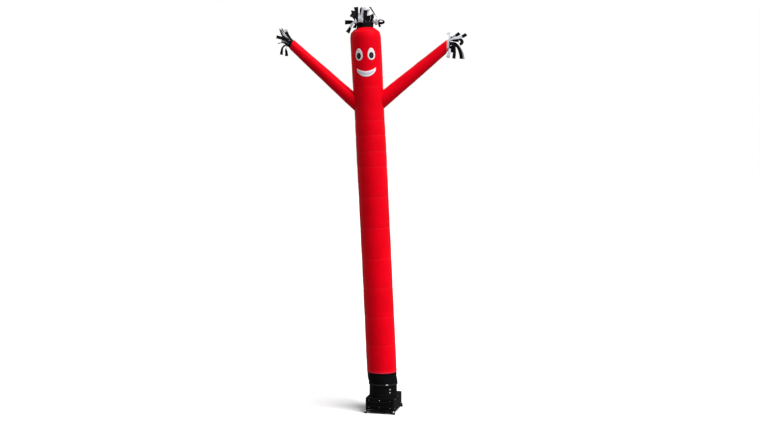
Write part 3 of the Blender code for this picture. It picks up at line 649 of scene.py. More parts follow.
RED = (0.80, 0.0008, 0.0095)
RED_GLOSS = (1.0, 0.10, 0.16)
# Paler pink of the trunk's foot band: a painted highlight along the hem
HEM_HIGHLIGHT_RED = (0.84, 0.022, 0.055)
BLACK = (0.005, 0.005, 0.0065)
SILVER = (0.56, 0.57, 0.62)
PATCH_WHITE = (0.84, 0.84, 0.87)
SLEEVE_BLACK = (0.0026, 0.0026, 0.0034)
# Second colour, and the distances in from the edge at which it begins and is full
# Blue-grey over the middle of the mouth, inside a white border
MOUTH_INNER_GREY = ((0.55, 0.57, 0.65), 0.019, 0.026)
# Painted highlight: the middle of each pupil is a lighter grey than its black edge, for a soft glint
PUPIL_PAINTED_HIGHLIGHT = ((0.030, 0.026, 0.030), 0.012, 0.030)
RED_NYLON = nylon("red nylon", RED, 0.50, seams=True, ends=HEM_HIGHLIGHT_RED, shine=0.12, gloss=RED_GLOSS)
STREAMER = nylon("streamer nylon", SILVER, 0.55, ends=BLACK, shine=0.05)
PUPIL = nylon("pupil patch nylon", BLACK, 0.45, seams=True, inner=PUPIL_PAINTED_HIGHLIGHT, shine=0.15)
LOOKS = {
    # look: slot, material
    "red": ("red_nylon", RED_NYLON),
    "white streamer": ("white_nylon", STREAMER),
    "black streamer": ("black_nylon", STREAMER),
    "sleeve": ("black_nylon", nylon("black sleeve nylon", SLEEVE_BLACK, 0.68, seams=True, shine=0.06)),
    "eye": ("white_nylon", nylon("white patch nylon", PATCH_WHITE, 0.45, seams=True)),
    "mouth": ("white_nylon", nylon("mouth patch nylon", PATCH_WHITE, 0.45, seams=True, inner=MOUTH_INNER_GREY)),
    "pupil": ("black_nylon", PUPIL),
    "webbing": ("webbing", woven_band("black webbing", (0.006, 0.006, 0.007))),
    "paint": ("blower_paint", painted("black powder coat", (0.0020, 0.0020, 0.0024), 0.64)),
    "plastic": ("plastic", moulded("black plastic", (0.005, 0.005, 0.006), 0.42)),
    "steel": ("bright_steel", steel("bright steel", (0.86, 0.86, 0.88), 0.28)),
    "rubber": ("rubber", moulded("black rubber", (0.004, 0.004, 0.004), 0.72, 220.0)),
}


# Trunk


def trunk_centre(height):
    above = max(0.0, height - LEAN_FROM)
    return FOOT_OFFSET - LEAN * above - LEAN_GROWTH * above * above


def trunk_tilt(height):
    slope = LEAN + 2 * LEAN_GROWTH * max(0.0, height - LEAN_FROM)
    return atan(slope) * min(1.0, max(0.0, height - TRUNK_FOOT) / LEAN_BEGINS_OVER)


SEAM_LINES = (TRUNK_FOOT + HEM_HEIGHT,) + CROSS_SEAMS


def seam_distance(height):
    """Signed distance to the nearest cross seam."""
    return min((height - seam for seam in SEAM_LINES), key=abs)


def panel_swell(height):
    """How far a panel's middle stands out between its seams."""
    for low, high in zip(SEAM_LINES, SEAM_LINES[1:]):
        if low <= height <= high:
            return PANEL_CROWN * sin(pi * (height - low) / (high - low))
    return 0.0


def crumple(angle, height):
    """Relief of the blown-up cloth: puckers beside the seams and long slack creases."""
    off = seam_distance(height)
    near = exp(-((off / PUCKER_REACH) ** 2))
    seed = round((height - off) * 7.3)
    ripple = sin(angle * PUCKERS[0] + 5 * around(angle, 1.3, seed))
    ripple += 0.7 * sin(angle * PUCKERS[1] + seed + 6 * around(angle, 2, seed + 9))
    strength = 0.55 + 0.45 * around(angle, 1.7, seed + 4.0)
    groove = -SEAM_DEPTH * exp(-((off / SEAM_WIDTH) ** 2))
    slack = around(angle, 2.1, height * 2.4) + 0.5 * around(angle, 5.0, height * 6.0)
    return groove + PUCKER * near * ripple * strength * 0.6 + CREASE * slack


def girth_radius(height):
    """Smooth radius of the tube, rounding in at the head's shoulders."""
    draw = max(0.0, (height - TRUNK_RIM) / SHOULDER_HEIGHT + 1)
    return between(TRUNK_GIRTH, height) / 2 - SHOULDER_DRAW * draw * draw


def trunk_radius(angle, height):
    radius = girth_radius(height)
    radius += HEM_STEP * (1 - smooth((height - TRUNK_FOOT - HEM_HEIGHT) / (HEM_STEP * 4)))
    return radius + panel_swell(height) + crumple(angle, height)


def leaning(radius, angle, height, lift=0.0):
    """Point about the trunk's axis, in its section at that height and lifted square to it."""
    tilt = trunk_tilt(height)
    across = radius * cos(angle)
    right = trunk_centre(height) + across * cos(tilt) - lift * sin(tilt)
    up = height + across * sin(tilt) + lift * cos(tilt)
    return Vector((right, radius * sin(angle), up))


def on_trunk(angle, height, proud=0.0):
    """Point on the trunk's outer face; angle 0 is to the right and 270 degrees is the front."""
    return leaning(trunk_radius(angle, height) + proud, angle, height)


def trunk_heights():
    heights = {TRUNK_FOOT + 0.004, TRUNK_FOOT + HEM_HIGHLIGHT_BAND - 0.001, TRUNK_FOOT + HEM_HIGHLIGHT_BAND + 0.003}
    for step in range(1, SHOULDER_STEPS):
        heights.add(TRUNK_RIM - SHOULDER_HEIGHT * step / SHOULDER_STEPS)
    for seam in SEAM_LINES:
        heights.update(seam + step for step in SEAM_STEPS)
    for step in range(int((TRUNK_RIM - TRUNK_FOOT) / TRUNK_STEP)):
        height = TRUNK_FOOT + TRUNK_STEP * step
        if abs(seam_distance(height)) > SEAM_STEPS[-1] + TRUNK_STEP / 3:
            heights.add(height)
    kept = [TRUNK_FOOT]
    for height in sorted(heights):
        if kept[-1] + ROWS_APART < height < TRUNK_RIM - ROWS_APART:
            kept.append(height)
    return kept + [TRUNK_RIM]


def arm_frame(side):
    arm = ARMS[side]
    root = Vector((arm["root"][0], 0.0, arm["root"][1]))
    hand = Vector((arm["hand"][0], 0.0, arm["hand"][1]))
    axis = (hand - root).normalized()
    up = Vector((-axis.z, 0.0, axis.x)) if axis.x > 0 else Vector((axis.z, 0.0, -axis.x))
    return root, axis, (hand - root).length, up


def inside_arm(point, share=0.86):
    """True within a share of either arm's girth, on that arm's own side of the trunk."""
    for side, arm in ARMS.items():
        root, axis = arm_frame(side)[:2]
        off = point - root
        along = off.dot(axis)
        if along > 0 and (off - axis * along).length < arm["girth"][0] / 2 * share:
            return True
    return False


def make_trunk():
    angles = turns(TRUNK_COLUMNS)
    heights = trunk_heights()
    rows = [[on_trunk(angle, height) for angle in angles] for height in heights]
    seam = [[seam_distance(height)] * TRUNK_COLUMNS for height in heights]
    # The lowest band is painted paler pink, a painted highlight along the hem
    hem_highlight = [[float(height < TRUNK_FOOT + HEM_HIGHLIGHT_BAND)] * TRUNK_COLUMNS for height in heights]
    trunk = cloth_grid("trunk_cloth", rows, True, {"seam": seam, "end": hem_highlight})
    form = bmesh.new()
    form.from_mesh(trunk.data)
    inner = [face for face in form.faces if inside_arm(face.calc_center_median() - AXIS)]
    bmesh.ops.delete(form, geom=inner, context="FACES")
    form.to_mesh(trunk.data)
    form.free()
    thicken(trunk, CLOTH)
    dress(trunk, "red", "trunk")


# Crown


def make_crown():
    """Round panel that closes the head, gathered into the rim."""
    edge = girth_radius(TRUNK_RIM) - CLOTH - LOOSE
    ball = (edge * edge + CROWN_RISE * CROWN_RISE) / (2 * CROWN_RISE)
    angles = turns(TRUNK_COLUMNS)
    rows = []
    seam = []
    for ring in shares(CROWN_RINGS):
        share = CROWN_POLE + (1 - CROWN_POLE) * ring
        flat = edge * share
        rise = sqrt(ball * ball - flat * flat) - (ball - CROWN_RISE)
        pleat = CROWN_PLEAT * smooth((share - 0.55) / 0.4) * (1.1 - smooth((share - 0.9) * 10))
        gather = CROWN_GATHER * exp(-(((flat - HAIR_APOTHEM) / CROWN_GATHER_REACH) ** 2))
        row = []
        for angle in angles:
            ripple = sin(angle * CROWN_PLEATS[0] + 4 * around(angle, 1.0, 3.0))
            ripple += 0.6 * sin(angle * CROWN_PLEATS[1] + 5 * around(angle, 2, 8.0))
            lift = pleat * (ripple - 0.4) + CROWN_SLACK * around(angle, flat * 20, 1.0)
            lift += gather * sin(angle * CROWN_GATHERS + 4 * around(angle, 2))
            row.append(leaning(flat, angle, TRUNK_RIM, rise + lift))
        rows.append(row)
        seam.append([edge * (1 - share)] * TRUNK_COLUMNS)
    rows.append([point - UP * CROWN_TURN_DOWN for point in rows[-1]])
    seam.append(seam[-1])
    crown = sew("crown_cloth", rows[::-1], True, seam[::-1], "red", "crown", pole=True)


# Arms


def arm_point(side, share, angle, inset=0.0):
    """Point of the arm's plain form; the mouth is cut on a slant."""
    root, axis, length, up = arm_frame(side)
    arm = ARMS[side]
    radius = (arm["girth"][0] + (arm["girth"][1] - arm["girth"][0]) * max(0.0, share)) / 2
    radius += ARM_BULGE * sin(pi * min(1.0, max(0.0, share))) - inset
    ahead = smooth((share - SLANT_BEGINS) / (1 - SLANT_BEGINS))
    lift = radius * cos(angle)
    slant = axis * arm["slant"] * ahead * lift
    return root + axis * length * share + up * lift + Vector((0, radius * sin(angle), 0)) + slant


def outside_trunk(point):
    """Distance of a point outside the trunk's cloth."""
    height = point.z
    for _ in range(3):
        tilt = trunk_tilt(height)
        height = point.z - (point.x - trunk_centre(height)) * tan(tilt)
    tilt = trunk_tilt(height)
    across = (point.x - trunk_centre(height)) / cos(tilt)
    angle = atan2(point.y, across)
    return hypot(across, point.y) - trunk_radius(angle, height)


def arm_start(side, angle):
    """Share of the length at which one line along the arm leaves the trunk."""
    low, high = -0.25, 0.4
    for _ in range(26):
        middle = (low + high) / 2
        if outside_trunk(arm_point(side, middle, angle)) < ARM_CLEAR:
            low = middle
        else:
            high = middle
    return high


def arm_relief(side, share, angle, from_root):
    """Puckers at the shoulder seam, gathers at the hand and slanting creases between them."""
    length = arm_frame(side)[2]
    seed = 2.0 if side == "left" else 7.0
    wander = 3 * around(angle, 1.5, seed)
    near_root = exp(-((from_root * length / ARM_PUCKER_REACH) ** 2))
    near_hand = exp(-(((1 - share) * length / ARM_GATHER_REACH) ** 2))
    root = near_root * sin(angle * ARM_PUCKERS + wander)
    hand = near_hand * sin(angle * ARM_GATHERS + wander * 1.4)
    slack = drift(cos(angle) * 1.9 + share * 2.0, sin(angle) * 1.9, share * 5.5 + seed)
    slack += 0.5 * drift(cos(angle) * 4.0 + share * 5.0, sin(angle) * 4.0, share * 14.0 + seed)
    fade = smooth(from_root * length / 0.012) * smooth((1 - share) * length / 0.008 + 0.35)
    return (ARM_PUCKER * (root * 0.55 + hand * 0.4) + ARM_SLACK * slack) * fade


def make_arm(side):
    length = arm_frame(side)[2]
    angles = turns(ARM_COLUMNS)
    starts = [arm_start(side, angle) for angle in angles]
    rows = []
    seam = []
    for step in shares(ARM_ROWS):
        part = step**ARM_ROW_GROWTH
        row = []
        gaps = []
        for angle, start in zip(angles, starts):
            share = start + (1 - start) * part
            relief = arm_relief(side, share, angle, share - start)
            row.append(arm_point(side, share, angle, -relief))
            gaps.append(min((share - start) * length, (1 - share) * length))
        rows.append(row)
        seam.append(gaps)
    arm = sew(f"arm_{side}_cloth", rows, True, seam, "red", f"arm_{side}")


# Face


def make_oval(node, look, bearing, height, size, taper, proud):
    """Oval patch, narrower at the top by taper, lying on the trunk's cloth."""
    radius = between(TRUNK_GIRTH, height) / 2
    middle = radians(270.0 + FACE_BEARING + bearing)
    rows = []
    seam = []
    for ring in shares(OVAL_RINGS):
        share = OVAL_POLE + (1 - OVAL_POLE) * ring
        lift = PATCH + PATCH_PUFF * sin(share * 3.0) * (1 - share**6)
        row = []
        for angle in turns(OVAL_COLUMNS):
            up = sin(angle)
            across = cos(angle) * (1 - taper * up) * size[0] / 2
            turn = middle + across * share / radius
            row.append(on_trunk(turn, height + up * share * size[1] / 2, proud + lift))
        rows.append(row)
        seam.append([(1 - share) * size[0] / 2] * OVAL_COLUMNS)
    patch = sew(f"{node}_patch", rows[::-1], True, seam[::-1], look, node, PATCH, pole=True)


def make_mouth():
    """Smiling crescent with blunt tips."""
    low, high = MOUTH_SPAN
    rows = [[] for _ in range(MOUTH_ROWS + 1)]
    seam = [[] for _ in range(MOUTH_ROWS + 1)]
    radius = between(TRUNK_GIRTH, MOUTH_TOP) / 2
    for column in shares(MOUTH_COLUMNS):
        share = 2 * column - 1
        angle = radians(270.0 + (low + high) / 2 + share * (high - low) / 2)
        upper = MOUTH_TOP + MOUTH_CORNER_LIFT * share * share
        depth = MOUTH_DEPTH * (MOUTH_TIP + (1 - MOUTH_TIP) * sqrt(max(0.0, 1 - share * share)))
        for row, part in enumerate(shares(MOUTH_ROWS)):
            rows[row].append(on_trunk(angle, upper - depth * (1 - part), LOOSE + PATCH))
            side = (1 - abs(share)) * radians(high - low) / 2 * radius
            seam[row].append(min(depth * part, depth * (1 - part), side))
    mouth = sew("mouth_patch", rows, False, seam, "mouth", "mouth", PATCH)


def make_face():
    proud = LOOSE + PATCH + PUPIL_CLEAR
    for side, sign in SIDES:
        bearing = sign * EYE_SPREAD
        make_oval(f"eye_{side}", "eye", bearing, EYE_HEIGHT, EYE_SIZE, EYE_TAPER, LOOSE)
        make_oval(f"pupil_{side}", "pupil", bearing, EYE_HEIGHT - PUPIL_DROP, PUPIL_SIZE, 0.0, proud)
    make_mouth()


# Streamers


def ribbon_rows(path, flat, face, widths, seed):
    """Rows of points across one ribbon on a cubic path, twisting to its face, curled and fluttering."""
    start, leave, come, tip = path
    centres = []
    headings = []
    for share in shares(RIBBON_STEPS):
        near = 1 - share
        middle = leave * 3 * near * near * share + come * 3 * near * share * share
        centres.append(start * near**3 + middle + tip * share**3)
        heading = (leave - start) * near * near + (come - leave) * 2 * near * share
        heading += (tip - come) * share * share
        headings.append(heading.normalized())
    across = [flat]
    for before, after in zip(headings, headings[1:]):
        carried = before.rotation_difference(after) @ across[-1]
        across.append((carried - after * carried.dot(after)).normalized())
    last = headings[-1]
    broadside = last.cross(Vector((0, -1, 0))).normalized()
    wanted = Matrix.Rotation(radians(face), 3, last) @ broadside
    twist = atan2(across[-1].cross(wanted).dot(last), across[-1].dot(wanted))
    twist = (twist + pi / 2) % pi - pi / 2
    rows = []
    for share, centre, heading, side in zip(shares(RIBBON_STEPS), centres, headings, across):
        side = Matrix.Rotation(twist * share**TWIST_GROWTH, 3, heading) @ side
        out = heading.cross(side)
        half = (widths[0] + (widths[1] - widths[0]) * share) / 2
        row = []
        loose = smooth(share * 3)
        for column in shares(RIBBON_COLUMNS):
            place = 2 * column - 1
            curl = RIBBON_CURL * half * (place * place - 0.35) * drift(share * 1.7, seed, 3.0) * 2
            flutter = RIBBON_FLUTTER * place * drift(share * 5.0, seed * 1.7, 7.0 + place)
            ripple = RIBBON_FLUTTER * 0.8 * drift(share * 4.0, seed * 2.3, 11.0)
            skew = RIBBON_SKEW * half * place * drift(seed * 3.1, 2.0) * 2 * smooth((share - 0.8) * 5)
            bow = (curl + flutter + ripple) * loose
            row.append(centre + side * half * place + out * bow + heading * skew)
        rows.append(row)
    return rows


def band_rows(frame_of, apothem, span, facets):
    """The gathered band that the ribbons are sewn to."""
    centre, axis, up, back, slant = frame_of
    rows = []
    for share in shares(BAND_ROWS):
        along = span[0] + (span[1] - span[0]) * share
        row = []
        for angle in turns(facets * BAND_COLUMNS):
            sector = (angle + pi / facets) % (TURN / facets) - pi / facets
            ruffle = 0.5 + 0.5 * sin(angle * facets * 1.5 + 4 * around(angle, 2))
            radius = (apothem - BAND / 2) / cos(sector) + BAND_RUFFLE * ruffle * share**3
            lift = radius * cos(angle)
            ragged = BAND_RAGGED * around(angle, 6, 4.0) * share**2
            climb = axis * (along + ragged + slant * lift)
            row.append(centre + climb + up * lift + back * radius * sin(angle))
        rows.append(row)
    return rows


def tuft_plans():
    """Name, rows, frame, apothem, span, facets and ribbon widths of every tuft."""
    tilt = trunk_tilt(TRUNK_RIM)
    right = Vector((cos(tilt), 0, sin(tilt)))
    axis = Vector((-sin(tilt), 0, cos(tilt)))
    back = Vector((0, 1, 0))
    top = Vector((trunk_centre(TRUNK_RIM), 0, TRUNK_RIM)) + axis * CROWN_RISE
    head = (top, axis, right, back, 0.0)
    plans = []

    def plan_pair(outer, inner, frame_of, apothem, low, high, facets, widths):
        plans.append((*outer, frame_of, apothem, (low, high), facets, widths))
        proud = high + INNER_PROUD
        within = (proud - INNER_BAND, proud)
        plans.append((*inner, frame_of, apothem - BAND - GAP, within, facets, widths))

    dark = ("hair_black", HAIR_BLACK)
    light = ("hair_white", HAIR_WHITE)
    low = HAIR_BAND_TOP - HAIR_BAND_HEIGHT
    plan_pair(dark, light, head, HAIR_APOTHEM, low, HAIR_BAND_TOP, HAIR_FACETS, HAIR_WIDTH)
    for side, outer, inner in (
        ("left", ("hand_left_black", LEFT_BLACK), ("hand_left_white", LEFT_WHITE)),
        ("right", ("hand_right_white", RIGHT_WHITE), ("hand_right_black", RIGHT_BLACK)),
    ):
        root, axis, length, up = arm_frame(side)
        hand = (root + axis * length, axis, up, back, ARMS[side]["slant"])
        apothem = (ARMS[side]["girth"][1] / 2 - CLOTH - LOOSE * 3) * cos(pi / HAND_FACETS)
        plan_pair(outer, inner, hand, apothem, -HAND_BAND_IN, HAND_BAND_OUT, HAND_FACETS, HAND_WIDTH)
    return plans


def make_tuft(name, rows, frame_of, apothem, span, facets, widths):
    centre, axis, up, back, slant = frame_of
    light = name.endswith("white")
    grids = [(band_rows(frame_of, apothem, span, facets), True, 0.0)]
    reach = apothem - BAND / 2
    for number, (root, right, behind, above, rise, lean, fall, arrive, face) in enumerate(rows):
        angle = radians(root)
        outward = up * cos(angle) + back * sin(angle)
        flat = back * cos(angle) - up * sin(angle)
        start = centre + outward * reach + axis * (span[1] - ROOT_DEPTH + slant * reach * cos(angle))
        splay = radians(lean)
        launch = axis * cos(splay) + outward * sin(splay)
        tip = centre + Vector((right, behind, above))
        coming = radians(arrive)
        come = tip - Vector((cos(coming), 0.0, sin(coming))) * fall
        path = (start, start + launch * rise, come, tip)
        points = ribbon_rows(path, flat, face, widths, number * 1.37 + len(name))
        grids.append((points, False, TWO_TONE.get((name, root), 0.0)))
    plain = float(not light)
    made = []
    for number, (points, closed, black_share) in enumerate(grids):
        last = len(points) - 1
        tips = [float(at / last > 1 - black_share) if black_share else plain for at in range(last + 1)]
        ends = [[tip] * len(points[0]) for tip in tips]
        gaps = [[SEAM_REACH] * len(points[0]) for _ in points]
        made.append(cloth_grid(f"{name}_{number}", points, closed, {"end": ends, "seam": gaps}))
    tuft = join(f"{name}_streamers", made)
    thicken(tuft, RIBBON, 0.0)
    dress(tuft, "white streamer" if light else "black streamer", name)


def join(name, items):
    """One mesh from several, in the order given."""
    form = bmesh.new()
    for item in items:
        form.from_mesh(item.data)
    mesh = bpy.data.meshes.new(name)
    form.to_mesh(mesh)
    form.free()
    mesh.shade_smooth()
    for item in items:
        bpy.data.objects.remove(item, do_unlink=True)
    return put(name, mesh)


def make_streamers():
    for plan in tuft_plans():
        make_tuft(*plan)


# Sleeve


def make_sleeve():
    """Black cuff, bunched above the strap and tucked up inside the trunk."""
    rows = []
    seam = []
    low, high = SLEEVE_ROWS[0][0], SLEEVE_ROWS[-1][0]
    for share in shares(SLEEVE_STEPS):
        height = low + (high - low) * share
        clear = max(0.0, height - DUCT_TOP) / (SLEEVE_CENTRED - DUCT_TOP)
        centre = trunk_centre(height) * min(1.0, clear)
        fold = SLEEVE_FOLD * (1 - 0.9 * smooth(share))
        free = smooth((height - BUNCH_FROM) / 0.02) * smooth((TRUNK_FOOT - height) / 0.015)
        row = []
        for angle in turns(SLEEVE_COLUMNS):
            bands = sin((height + 0.030 * around(angle, 0.9, 5.0)) * TURN / BUNCH_PITCH)
            bands *= 0.5 + around(angle, 1.6, height * 9)
            radius = between(SLEEVE_ROWS, height) + fold * sin(SLEEVE_FOLDS * angle)
            radius += free * (BUNCH * bands + BUNCH_SLACK * around(angle, 3, height * 22))
            row.append(polar(radius, angle, height) + Vector((centre, 0, 0)))
        rows.append(row)
        seam.append([height - low - SLEEVE_HEM] * SLEEVE_COLUMNS)
    sleeve = sew("sleeve_cloth", rows, True, seam, "sleeve", "sleeve")


# Blower pieces that are turned, drawn finer than their solids


def turned(name, profile, sides, place=Vector((0, 0, 0)), axis=UP, ring=False):
    """Body turned about an axis through a place; a ring's outline closes on itself."""
    turn = UP.rotation_difference(axis)
    form = bmesh.new()
    loops = []
    for radius, along in profile:
        points = (turn @ polar(radius, angle, along) for angle in turns(sides))
        loops.append([form.verts.new(AXIS + place + point) for point in points])
    pairs = list(zip(loops, loops[1:]))
    if ring:
        pairs.append((loops[-1], loops[0]))
    else:
        form.faces.new(loops[0][::-1])
        form.faces.new(loops[-1])
    for lower, upper in pairs:
        for here in range(sides):
            there = (here + 1) % sides
            form.faces.new((lower[here], lower[there], upper[there], upper[here]))
    return form_object(name, form)


def slab(name, size, bevel, place, yaw=0.0, tilt=0.0):
    """Box with rounded edges, turned about Z after a tilt about its own length."""
    form = bmesh.new()
    bmesh.ops.create_cube(form, size=1.0, matrix=Matrix.Diagonal((*size, 1.0)))
    bmesh.ops.bevel(form, geom=form.edges[:], offset=bevel, segments=3, profile=0.5, affect="EDGES")
    turn = Matrix.Rotation(yaw, 4, "Z") @ Matrix.Rotation(tilt, 4, "X")
    form.transform(Matrix.Translation(AXIS + place) @ turn)
    return form_object(name, form)


def form_object(name, form):
    bmesh.ops.recalc_face_normals(form, faces=form.faces)
    mesh = bpy.data.meshes.new(name)
    form.to_mesh(mesh)
    form.free()
    mesh.shade_smooth()
    mesh.set_sharp_from_angle(angle=radians(SHARP_ABOVE))
    return put(name, mesh)


def facing(bearing):
    """Outward direction of a bearing, and the turn about Z that faces a piece along it."""
    return polar(1.0, radians(270.0 + bearing)), radians(bearing)


def blower_place(across, along, height):
    return BLOWER_TURN @ Vector((across + BLOWER_SIDE, along + BLOWER_BACK, height))


def blower_axis(across, along):
    return (BLOWER_TURN @ Vector((across, along, 0))).normalized()


def dome(radius, height, steps=5):
    """Outline of a rounded head from its rim to its top."""
    climbs = [pi / 2 * step / steps for step in range(steps)]
    side = [(radius * cos(climb), height * sin(climb)) for climb in climbs]
    return side + [(radius * 0.02, height)]


def screw(name, place, outward, radius, height, flat=0.35):
    """Round-headed screw standing on a place."""
    head = [(radius, 0.0)] + [(r, height * flat + up) for r, up in dome(radius, height * (1 - flat))]
    return turned(name, head, SCREW_SIDES, place, outward)


def make_duct():
    """Rolled sheet duct with a bead, a riveted lap seam at the back, and the flange at its foot."""
    low = HOUSING_TOP + GAP
    outline = [(DUCT_RADIUS, low)]
    for share in shares(BEAD_STEPS):
        height = BEAD_HEIGHT + BEAD * 2 * (2 * share - 1)
        outline.append((DUCT_RADIUS + BEAD * sin(pi * share), height))
    outline += [
        (DUCT_RADIUS, DUCT_TOP - 0.001),
        (DUCT_RADIUS - 0.001, DUCT_TOP),
        (DUCT_RADIUS - DUCT_WALL + 0.001, DUCT_TOP),
        (DUCT_RADIUS - DUCT_WALL, DUCT_TOP - 0.001),
        (DUCT_RADIUS - DUCT_WALL, low),
    ]
    parts = [turned("duct_wall", outline, ROUND_SIDES, ring=True)]
    foot = low + FLANGE_THICK + 0.002
    span = SLEEVE_ROWS[0][0] - 0.002 - foot
    bearings = [radians(LAP_BEARING + turn) for turn in LAP_TURNS]
    heights = [foot + span * share for share in shares(4)]
    rows = [[polar(DUCT_RADIUS + 0.0012, turn, height) for turn in bearings] for height in heights]
    parts.append(settled(thicken(cloth_grid("lap", rows, False), LAP_THICK)))
    outward = polar(1.0, radians(LAP_BEARING))
    for step in range(RIVETS):
        place = outward * (DUCT_RADIUS + 0.001) + UP * (low + RIVET_FOOT + step * RIVET_PITCH)
        parts.append(screw(f"rivet_{step}", place, outward, 0.0035, 0.0024, 0.1))
    dress(join("duct_shell", parts), "paint", "duct")
    ring = [
        (DUCT_RADIUS + GAP, low),
        (FLANGE_RADIUS - 0.001, low),
        (FLANGE_RADIUS, low + 0.001),
        (FLANGE_RADIUS, low + FLANGE_THICK - 0.0015),
        (FLANGE_RADIUS - 0.0015, low + FLANGE_THICK),
        (DUCT_RADIUS + GAP, low + FLANGE_THICK),
    ]
    dress(turned("flange_ring", ring, ROUND_SIDES, ring=True), "paint", "flange")


def settled(item):
    """The piece with its modifiers worked into its mesh."""
    graph = bpy.context.evaluated_depsgraph_get()
    mesh = bpy.data.meshes.new_from_object(item.evaluated_get(graph))
    item.modifiers.clear()
    item.data = mesh
    return item


def make_strap():
    belt = (SLEEVE_ROWS[0][1] + SLEEVE_FOLD + GAP) / cos(pi / 48)
    rows = []
    for share in shares(STRAP_STEPS):
        height = STRAP_BOTTOM + STRAP_WIDTH * share
        row = []
        for angle in turns(ROUND_SIDES):
            swell = 0.0005 * sin(SLEEVE_FOLDS * angle) + 0.0006 * around(angle, 4)
            radius = belt + STRAP_THICK + 0.0006 * sin(pi * share) + swell
            row.append(polar(radius, angle, height + 0.0015 * around(angle, 2, 6.0)))
        rows.append(row)
    strap = thicken(cloth_grid("strap_webbing", rows, True), STRAP_THICK)
    dress(strap, "webbing", "strap")
    outward, turn = facing(BUCKLE_BEARING)
    wide, deep, tall = BUCKLE
    centre = outward * (belt + STRAP_THICK + 0.0015 + deep / 2) + UP * (STRAP_BOTTOM + STRAP_WIDTH / 2)
    side = polar(1.0, turn)
    parts = [slab("base", (wide, deep * 0.35, tall), 0.0015, centre - outward * deep * 0.32, turn)]
    for way in (-1, 1):
        cheek = centre + side * way * (wide / 2 - 0.003)
        parts.append(slab(f"cheek_{way}", (0.006, deep, tall), 0.0015, cheek, turn))
    lever = (wide - 0.016, deep * 0.4, tall * 0.7)
    parts.append(slab("lever", lever, 0.002, centre + outward * 0.001, turn, 0.12))
    dress(join("buckle_body", parts), "plastic", "buckle")
    bar = centre + outward * deep * 0.30 + UP * tall * 0.30
    rod = turned("buckle_bar", rod_outline(0.0028, wide - 0.013), 20, bar, side)
    dress(rod, "steel")


def rod_outline(radius, length, round_off=0.0008):
    half = length / 2
    return [
        (radius - round_off, -half),
        (radius, -half + round_off),
        (radius, half - round_off),
        (radius - round_off, half),
    ]


def make_latch():
    """Two bright domed screws on the latch plate, slotted across."""
    outward, turn = facing(LATCH_BEARING)
    side = polar(1.0, turn)
    reach = DUCT_RADIUS + GAP * 2 + LATCH_PLATE[1]
    for place, sign in (("upper", 1), ("lower", -1)):
        base = outward * reach + UP * (LATCH_HEIGHT + sign * LATCH_SCREW_PITCH / 2)
        head = screw("head", base, outward, LATCH_SCREW_RADIUS, LATCH_SCREW_HEIGHT)
        slot_turn = LATCH_SLOT_TURN * sign
        bar = side * cos(slot_turn) + UP * sin(slot_turn)
        top = base + outward * LATCH_SCREW_HEIGHT * 0.97
        rib = turned("rib", rod_outline(0.0012, LATCH_SCREW_RADIUS * 1.5), 8, top, bar)
        dress(join(f"latch_screw_{place}_head", [head, rib]), "steel", f"latch_screw_{place}")


def make_frame():
    """Tubular skid: rails with plugs and rubber feet, and two crossbars."""
    forward = blower_axis(0, 1)
    sideways = blower_axis(1, 0)
    centre_height = FOOT_HEIGHT + TUBE_RADIUS
    half = RAIL_SPREAD / 2
    for side, sign in SIDES:
        middle = blower_place(sign * half, 0, centre_height)
        rod = rod_outline(TUBE_RADIUS, RAIL_LENGTH)
        rail = turned(f"rail_{side}_tube", rod, TUBE_SIDES, middle, forward)
        dress(rail, "paint", f"rail_{side}")
        for end, way in ENDS:
            place = blower_place(sign * half, way * (RAIL_LENGTH / 2 + GAP), centre_height)
            plug = [(CAP_RADIUS, 0.0), (CAP_RADIUS, CAP_EDGE)]
            plug += [(r, CAP_EDGE + up) for r, up in dome(CAP_RADIUS, CAP_THICK - CAP_EDGE)]
            cap = turned(f"cap_{end}_{side}_plug", plug, TUBE_SIDES, place, forward * way)
            dress(cap, "steel", f"cap_{end}_{side}")
            place = blower_place(sign * half, way * (RAIL_LENGTH / 2 - FOOT_INSET), 0.0)
            top = FOOT_HEIGHT - GAP
            outline = [
                (FOOT_RADIUS - 0.002, 0.0),
                (FOOT_RADIUS, 0.002),
                (FOOT_RADIUS, 0.009),
                (FOOT_RADIUS - 0.0015, 0.0105),
                (FOOT_RADIUS - 0.0015, 0.013),
                (FOOT_RADIUS - 0.0005, 0.0145),
                (FOOT_RADIUS - 0.0025, top - 0.002),
                (FOOT_RADIUS - 0.0045, top),
            ]
            foot = turned(f"foot_{end}_{side}_rubber", outline, TUBE_SIDES, place)
            dress(foot, "rubber", f"foot_{end}_{side}")
    for end, way in ENDS:
        reach = way * (RAIL_LENGTH / 2 - TUBE_RADIUS - CROSSBAR_INSET)
        rod = rod_outline(TUBE_RADIUS, RAIL_SPREAD - 2 * TUBE_RADIUS - 2 * GAP)
        place = blower_place(0, reach, centre_height)
        bar = turned(f"crossbar_{end}_tube", rod, TUBE_SIDES, place, sideways)
        dress(bar, "paint", f"crossbar_{end}")


def make_gland():
    back = blower_axis(0, 1)
    place = blower_place(-HOUSING[0] / 4, HOUSING[1] / 2 + GAP, GLAND_HEIGHT)
    nut = turned("nut", rod_outline(GLAND_RADIUS, GLAND_NUT), 6, place + back * GLAND_NUT / 2, back)
    neck = GLAND_RADIUS * 0.84
    cone = [(GLAND_RADIUS * 0.86, GLAND_NUT), (neck, GLAND_NECK)]
    cone += [(r, GLAND_NECK + up) for r, up in dome(neck, GLAND_LENGTH - GLAND_NECK)]
    dress(join("gland_nut", [nut, turned("cone", cone, SCREW_SIDES, place, back)]), "plastic", "gland")


